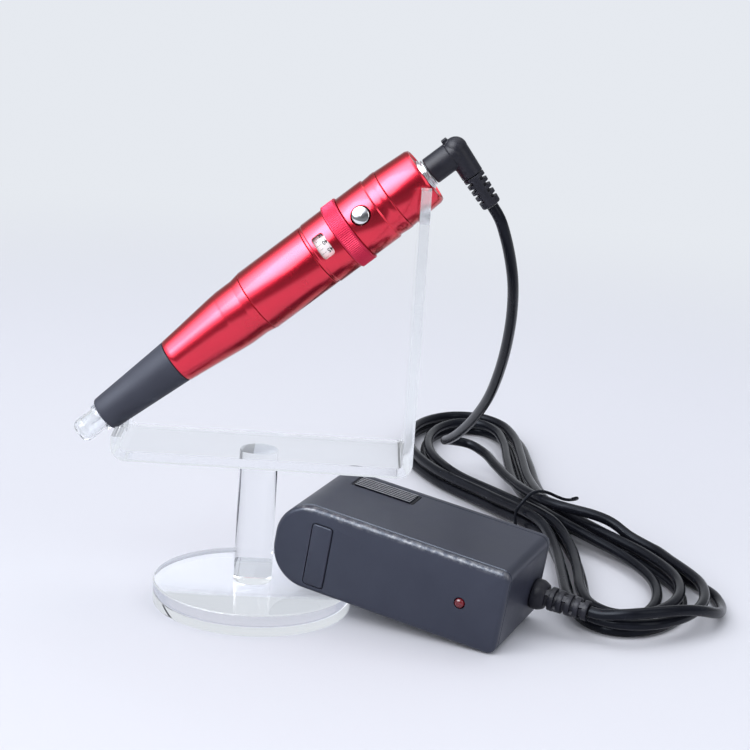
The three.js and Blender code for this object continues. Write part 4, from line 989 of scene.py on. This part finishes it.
# Mains adapter
adapterSpec = {
    "length": 75, "depth": 37.8, "height": 26.67, "leftRound": 11.5, "rightRound": 3, "bevel": 1.5,
    "wall": 1.3, "seam": 34.8, "seamGap": 0.3, "clearance": 0.3, "cordHole": [(3.3, -4), (3.3, 4)],
    "panel": {
        "fromRight": 56.3, "width": 7.1, "bottom": 1.9, "height": 20.4, "pocket": 0.9, "round": 1.2,
        "proud": 0.4, "edge": 0.4,
    },
    "led": {
        "fromRight": 13.5, "height": 13, "hole": [(1.8, -3), (1.8, 3)],
        "lens": [(1.5, -6), (1.5, 0), (1.42, 0.3), (1.2, 0.58), (0.85, 0.78), (0.4, 0.88), (0.1, 0.9)],
    },
    "vent": {
        "fromRight": 42, "width": 21.3, "start": 25.6, "depth": 8.2, "pocket": 0.8, "round": 0.6,
        "base": 0.45, "ribs": 6, "ribStart": 0.29, "ribShare": 0.42, "ribInset": 0.9, "ribFoot": 0.2,
        "ribTop": 0.95, "ribEdge": 0.12, "crest": 0.85,
    },
    "blade": {
        "fromLeft": 20, "pitch": 12.7, "halfSlot": 1.05, "low": 9.9, "high": 16.8, "from": 34, "to": 40,
    },
    "rimGroove": {"middle": 2.45, "half": 0.32, "dip": 0.5},
    "relief": {
        "depth": 29.4, "height": 10.4, "length": 18, "start": 4.6, "ribs": 5, "radius": 3.7, "taper": 0.6,
        "groove": 0.9, "gapShare": 0.4, "bore": 1.95,
        "collar": [
            (2.0, -2.3), (2.0, -3.4), (4.4, -3.4), (4.4, -2.3), (3, -2.3), (3, 0.3), (4.55, 0.3), (4.75, 0.5),
            (4.75, 2.5), (4.3, 3.6), (3.75, 4.5),
        ],
        "bridge": {"radius": 3.62, "depth": 1.2, "half": 0.9, "overlap": 0.1, "share": 0.5},
    },
}


def adapterBody(name):
    spec = adapterSpec
    body = boxPiece(name, (-spec["length"], 0, 0), (0, spec["depth"], spec["height"]))
    alongDepth = lambda a, b: abs(a.y - b.y) > 10 * mm
    bevelEdges(body, spec["leftRound"], 20, lambda a, b: alongDepth(a, b) and a.x < -spec["length"] / 2 * mm)
    bevelEdges(body, spec["rightRound"], 8, lambda a, b: alongDepth(a, b) and a.x > -1 * mm)
    onFace = lambda place: place.y < 1e-5 or place.y > (spec["depth"] - 0.01) * mm
    bevelEdges(body, spec["bevel"], 5, lambda a, b: abs(a.y - b.y) < 1e-5 and onFace(a))
    return body


def drawInGroove(body, middle, half, dip):
    for station in (middle - half, middle, middle + half):
        openMesh(body)
        bpy.ops.mesh.bisect(plane_co=(0, station * mm, 0), plane_no=(0, 1, 0))
        closeMesh()
    length, height = adapterSpec["length"], adapterSpec["height"]
    pickParts(body, "VERT", lambda place: abs(place.y - middle * mm) < 1e-6)
    bpy.ops.transform.resize(
        value=(1 - 2 * dip / length, 1, 1 - 2 * dip / height),
        center_override=(-length / 2 * mm, middle * mm, height / 2 * mm),
    )
    closeMesh()


def trimAtSeam(body, station, keepFront):
    openMesh(body)
    bpy.ops.mesh.bisect(
        plane_co=(0, station * mm, 0), plane_no=(0, 1, 0), clear_outer=keepFront, clear_inner=not keepFront
    )
    closeMesh()


def roundedBox(name, low, high, radius, axis, segments=5):
    body = boxPiece(name, low, high)
    bevelEdges(body, radius, segments, lambda a, b: abs(a[axis] - b[axis]) > 1e-6)
    return body


def trimmedShell(name, station, keepFront):
    spec = adapterSpec
    shell = adapterBody(name)
    if keepFront:
        drawInGroove(shell, **spec["rimGroove"])
    trimAtSeam(shell, station, keepFront)
    applyModifier(shell, "SOLIDIFY", thickness=spec["wall"] * mm, offset=-1, use_even_offset=True)
    return shell


def makeAdapter():
    spec = adapterSpec
    panel, vent, led, blade, clear = (spec[key] for key in ("panel", "vent", "led", "blade", "clearance"))
    panelLow = (-panel["fromRight"] - panel["width"], -2, panel["bottom"])
    panelHigh = (-panel["fromRight"], panel["pocket"], panel["bottom"] + panel["height"])
    ventLow = (-vent["fromRight"] - vent["width"], vent["start"], spec["height"] - vent["pocket"])
    ventHigh = (-vent["fromRight"], vent["start"] + vent["depth"], spec["height"] + 2)
    toLed = moved(-led["fromRight"], 0, led["height"]) @ turned(90, "X")
    toRelief = moved(0, spec["relief"]["depth"], spec["relief"]["height"]) @ turned(90, "Y")

    front = trimmedShell("adapter_front_black", spec["seam"] - spec["seamGap"] / 2, True)
    for cutter in (
        lambda: roundedBox("panelCutter", panelLow, panelHigh, panel["round"], 1),
        lambda: roundedBox("ventCutter", ventLow, ventHigh, vent["round"], 2, 3),
        lambda: settle(turnPiece("ledCutter", led["hole"], 48, True), toLed),
        lambda: settle(turnPiece("cordCutter", spec["cordHole"], 48, True), toRelief),
    ):
        combine(front, cutter(), "DIFFERENCE")
    settle(front, adapterFrame)
    hand(front, "root", "adapter_front_shell", "blackMoulding", 25)

    rear = trimmedShell("adapter_rear_black", spec["seam"] + spec["seamGap"] / 2, False)
    for sideSign in (-1, 1):
        across = blade["fromLeft"] - spec["length"] + sideSign * blade["pitch"] / 2
        low = (across - blade["halfSlot"], blade["from"], blade["low"])
        high = (across + blade["halfSlot"], blade["to"], blade["high"])
        combine(rear, boxPiece("bladeCutter", low, high), "DIFFERENCE")
    settle(rear, adapterFrame)
    hand(rear, "root", "adapter_rear_cover", "blackMoulding", 25)

    plate = roundedBox(
        "adapter_panel_black", (panelLow[0] + clear, -panel["proud"], panelLow[2] + clear),
        tuple(value - clear for value in panelHigh), panel["round"] - clear, 1,
    )
    softenEdges(plate, panel["edge"], 4, 60)
    settle(plate, adapterFrame)
    hand(plate, "root", "adapter_end_panel", "blackMoulding")

    makeVent(ventLow, ventHigh)
    lens = turnPiece("adapter_led_red", led["lens"], 48, True)
    settle(lens, adapterFrame @ toLed)
    hand(lens, "root", "adapter_led", "redLens", 60)
    makeAdapterRelief(adapterFrame @ toRelief)


def makeVent(pocketLow, pocketHigh):
    vent, clear = adapterSpec["vent"], adapterSpec["clearance"]
    left, front, floor = (value + clear for value in pocketLow)
    right, back = (value - clear for value in pocketHigh[:2])
    body = boxPiece("adapter_vent_black", (left, front, floor), (right, back, floor + vent["base"]))
    pitch = (back - front) / vent["ribs"]
    for i in range(vent["ribs"]):
        start = front + (i + vent["ribStart"]) * pitch
        low = (left + vent["ribInset"], start, floor + vent["ribFoot"])
        high = (right - vent["ribInset"], start + vent["ribShare"] * pitch, floor + vent["ribTop"])
        rib = boxPiece("rib", low, high)
        softenEdges(rib, vent["ribEdge"], 2, 60)
        combine(body, rib, "UNION")
    # crests of the ribs get a pale painted highlight, and the rest gets the darker cable finish as painted
    # shade
    crest = (floor + vent["crest"]) * mm
    crestLitGapShaded = [1 if face.center.z > crest else 2 for face in body.data.polygons]
    settle(body, adapterFrame)
    hand(body, "root", "adapter_vent", "blackMoulding")
    body.data.materials.append(made["ribCrestPaintedHighlight"])
    # darker finish for the faces between the ribs: painted shade
    body.data.materials.append(made["blackCable"])
    for face, kind in zip(body.data.polygons, crestLitGapShaded):
        face.material_index = kind


def makeAdapterRelief(place):
    spec = adapterSpec["relief"]
    start, count, bridge = spec["start"], spec["ribs"], spec["bridge"]
    pitch = (spec["length"] - start) / count
    rings = list(spec["collar"])
    for i in range(count):
        radius = spec["radius"] - spec["taper"] * i / (count - 1)
        low = start + i * pitch
        rise = low + spec["gapShare"] * pitch
        sunk = radius - spec["groove"]
        rings += [(sunk, low), (sunk, rise), (radius, rise), (radius, low + pitch)]
    rings.append((spec["bore"], spec["length"]))
    body = turnPiece("adapter_strain_relief_black", rings, 64)
    softenEdges(body, 0.12, 2)
    # short bridges join the rings, staggered from one gap to the next
    half = bridge["half"]
    for i in range(count):
        radius = bridge["radius"] - spec["taper"] * i / (count - 1)
        low = start + i * pitch - bridge["overlap"]
        for turn in (45, 225):
            high = low + bridge["share"] * pitch
            link = boxPiece("bridge", (radius - bridge["depth"], -half, low), (radius, half, high))
            settle(link, turned(90 * (i % 2) + turn, "Z"))
            combine(body, link, "UNION")
    settle(body, place)
    hand(body, "root", "adapter_strain_relief", "plugMoulding", 28)


makeAdapter()
print("adapter made")


# Studio
studio = {
    "paper": (0.79, 0.82, 0.87), "table": (0.72, 0.73, 0.8), "ambient": 0.62,
    "floorSize": 14, "floorHeight": -0.05,
    "fade": (0.3, 0.75), "dimFrom": -0.26, "dimTo": -0.38, "dimShare": -0.72, "daylight": (0.93, 0.96, 1),
    # start and end along the axis, then the level at each
    "rise": (0.3, 0.75, 0.06, 0.55), "behind": (-0.1, 0.4, 0, 1), "backdrop": (-0.1, 0.25, 0.8, 0.4),
    "mirrorDepth": 2.5,
    # direction from the object, distance and size in metres, power
    "softboxes": {
        "keySoftbox": ((-0.66, -0.72, 0.72), 1.3, (1.1, 0.9), 11),
        "topSoftbox": ((0.15, 0.25, 1), 1.5, (1.2, 1.2), 6),
        "fillSoftbox": ((0.9, -0.8, 0.55), 1.6, (0.7, 1.1), 4),
    },
    "target": (0.03, 0.03, 0.06),
    "strip": {
        "up": (-0.6527, 0, 0.7576), "along": (0.7576, 0, 0.6527), "near": 0.2, "far": 0.75, "brightest": 10,
        # turn about the pen in degrees, and the level there
        "levels": [
            (-180, 1), (-164, 0.85), (-150, 0.4), (-120, 0.3), (-90, 0.4), (-30, 0.45), (-12, 0.28),
            (8, 0.15), (24, 0.3), (36, 2.2), (48, 7.5), (62, 10), (80, 8.5), (94, 5), (108, 1.8),
            (124, 0.5), (150, 0.35), (164, 0.85), (180, 1),
        ],
    },
}


def makeFloor():
    pickNothing()
    bpy.ops.mesh.primitive_plane_add(size=studio["floorSize"], location=(0, 0, studio["floorHeight"] * mm))
    floor = bpy.context.object
    floor.name = "studioFloor"
    bpy.ops.object.transform_apply(location=True)
    material = bpy.data.materials.new("paperFloor")
    material.use_nodes = True
    tree = material.node_tree
    shader = tree.nodes["Principled BSDF"]
    plain = {"Base Color": opaque(studio["table"]), "Roughness": 0.9, "Specular IOR Level": 0.1}
    for label, value in plain.items():
        shader.inputs[label].default_value = value
    place = addNode(tree, "TexCoord").outputs["Object"]
    path = addNode(tree, "LightPath").outputs
    # away from the object the paper fades into an even backdrop
    away = addNode(tree, "VectorMath", {0: place}, operation="LENGTH").outputs["Value"]
    fade = remap(tree, away, *studio["fade"], ease="SMOOTHSTEP")
    seen = reckon(tree, "MAXIMUM", path["Is Camera Ray"], path["Is Glossy Ray"])
    seen = reckon(tree, "MAXIMUM", seen, path["Is Transmission Ray"])
    # mirrored, the floor on the viewer's side is dim
    sideways = addNode(tree, "SeparateXYZ", {"Vector": place}).outputs["Y"]
    nearSide = remap(tree, sideways, studio["dimTo"], studio["dimFrom"], 1, 0, "SMOOTHSTEP")
    mirrored = reckon(tree, "SUBTRACT", path["Is Glossy Ray"], path["Is Transmission Ray"], use_clamp=True)
    dim = reckon(tree, "MULTIPLY", nearSide, mirrored)
    strength = reckon(tree, "MULTIPLY_ADD", dim, studio["dimShare"], 1)
    glow = addNode(tree, "Emission", {"Color": opaque(studio["paper"]), "Strength": strength})
    share = reckon(tree, "MAXIMUM", reckon(tree, "MULTIPLY", fade, seen), dim)
    surface = blendShaders(tree, share, shader.outputs["BSDF"], glow.outputs["Emission"])
    tree.links.new(surface, tree.nodes["Material Output"].inputs["Surface"])
    floor.data.materials.append(material)


def stripLevel(tree, direction):
    strip = studio["strip"]
    up, ahead, along = (
        addNode(tree, "VectorMath", {0: direction, 1: axis}, operation="DOT_PRODUCT").outputs["Value"]
        for axis in (strip["up"], (0, -1, 0), strip["along"])
    )
    turn = reckon(tree, "ARCTAN2", up, ahead)
    ramp = addNode(tree, "ValToRGB", {"Fac": remap(tree, turn, -math.pi, math.pi)})
    stops = ramp.color_ramp.elements
    stops[1].position = 1
    for degrees, level in strip["levels"]:
        share = degrees / 360 + 0.5
        stop = stops[0] if share == 0 else stops[-1] if share == 1 else stops.new(share)
        stop.color = opaque([level / strip["brightest"]] * 3)
    near = remap(tree, reckon(tree, "ABSOLUTE", along), strip["near"], strip["far"], 1, 0, "SMOOTHSTEP")
    return near, reckon(tree, "MULTIPLY", ramp.outputs["Color"], strip["brightest"])


def makeWorld():
    world = bpy.data.worlds.new("studioWorld")
    bpy.context.scene.world = world
    world.use_nodes = True
    tree = world.node_tree
    tree.nodes.clear()
    path = addNode(tree, "LightPath").outputs
    direction = addNode(tree, "TexCoord").outputs["Generated"]
    # mirrored once, the viewer's side of the room is dim low down, and the backdrop behind is pale
    split = addNode(tree, "SeparateXYZ", {"Vector": direction}).outputs
    rise, behind, backdrop = (
        remap(tree, split[axis], *studio[label], ease="SMOOTHSTEP")
        for label, axis in (("rise", "Z"), ("behind", "Y"), ("backdrop", "X"))
    )
    room = blend(tree, "FLOAT", behind, rise, backdrop)
    # a long soft light lies parallel to the pen, with the dark of the room under it
    near, strip = stripLevel(tree, direction)
    room = blend(tree, "FLOAT", near, room, strip)
    # mirrored more than once, the room is even
    deep = reckon(tree, "GREATER_THAN", path["Ray Depth"], studio["mirrorDepth"])
    room = blend(tree, "FLOAT", deep, room, 1)
    paper = opaque(studio["paper"])
    mirrored, lamp, wall = (
        addNode(tree, "Background", {"Color": color, "Strength": strength}).outputs["Background"]
        for color, strength in ((paper, room), (opaque(studio["daylight"]), studio["ambient"]), (paper, 1))
    )
    seen = reckon(tree, "MAXIMUM", path["Is Camera Ray"], path["Is Transmission Ray"])
    unseen = blendShaders(tree, path["Is Glossy Ray"], lamp, mirrored)
    addNode(tree, "OutputWorld", {"Surface": blendShaders(tree, seen, unseen, wall)})


def softbox(name, direction, distance, size, power):
    light = bpy.data.lights.new(name, "AREA")
    light.shape = "RECTANGLE"
    light.size, light.size_y = size
    light.energy = power
    lamp = bpy.data.objects.new(name, light)
    bpy.context.scene.collection.objects.link(lamp)
    aim = Vector(direction).normalized()
    lamp.location = Vector(studio["target"]) + aim * distance
    lamp.rotation_euler = aim.to_track_quat("Z", "Y").to_euler()


makeFloor()
makeWorld()
for name, facts in studio["softboxes"].items():
    softbox(name, *facts)

bpy.context.scene.view_settings.view_transform = "Standard"
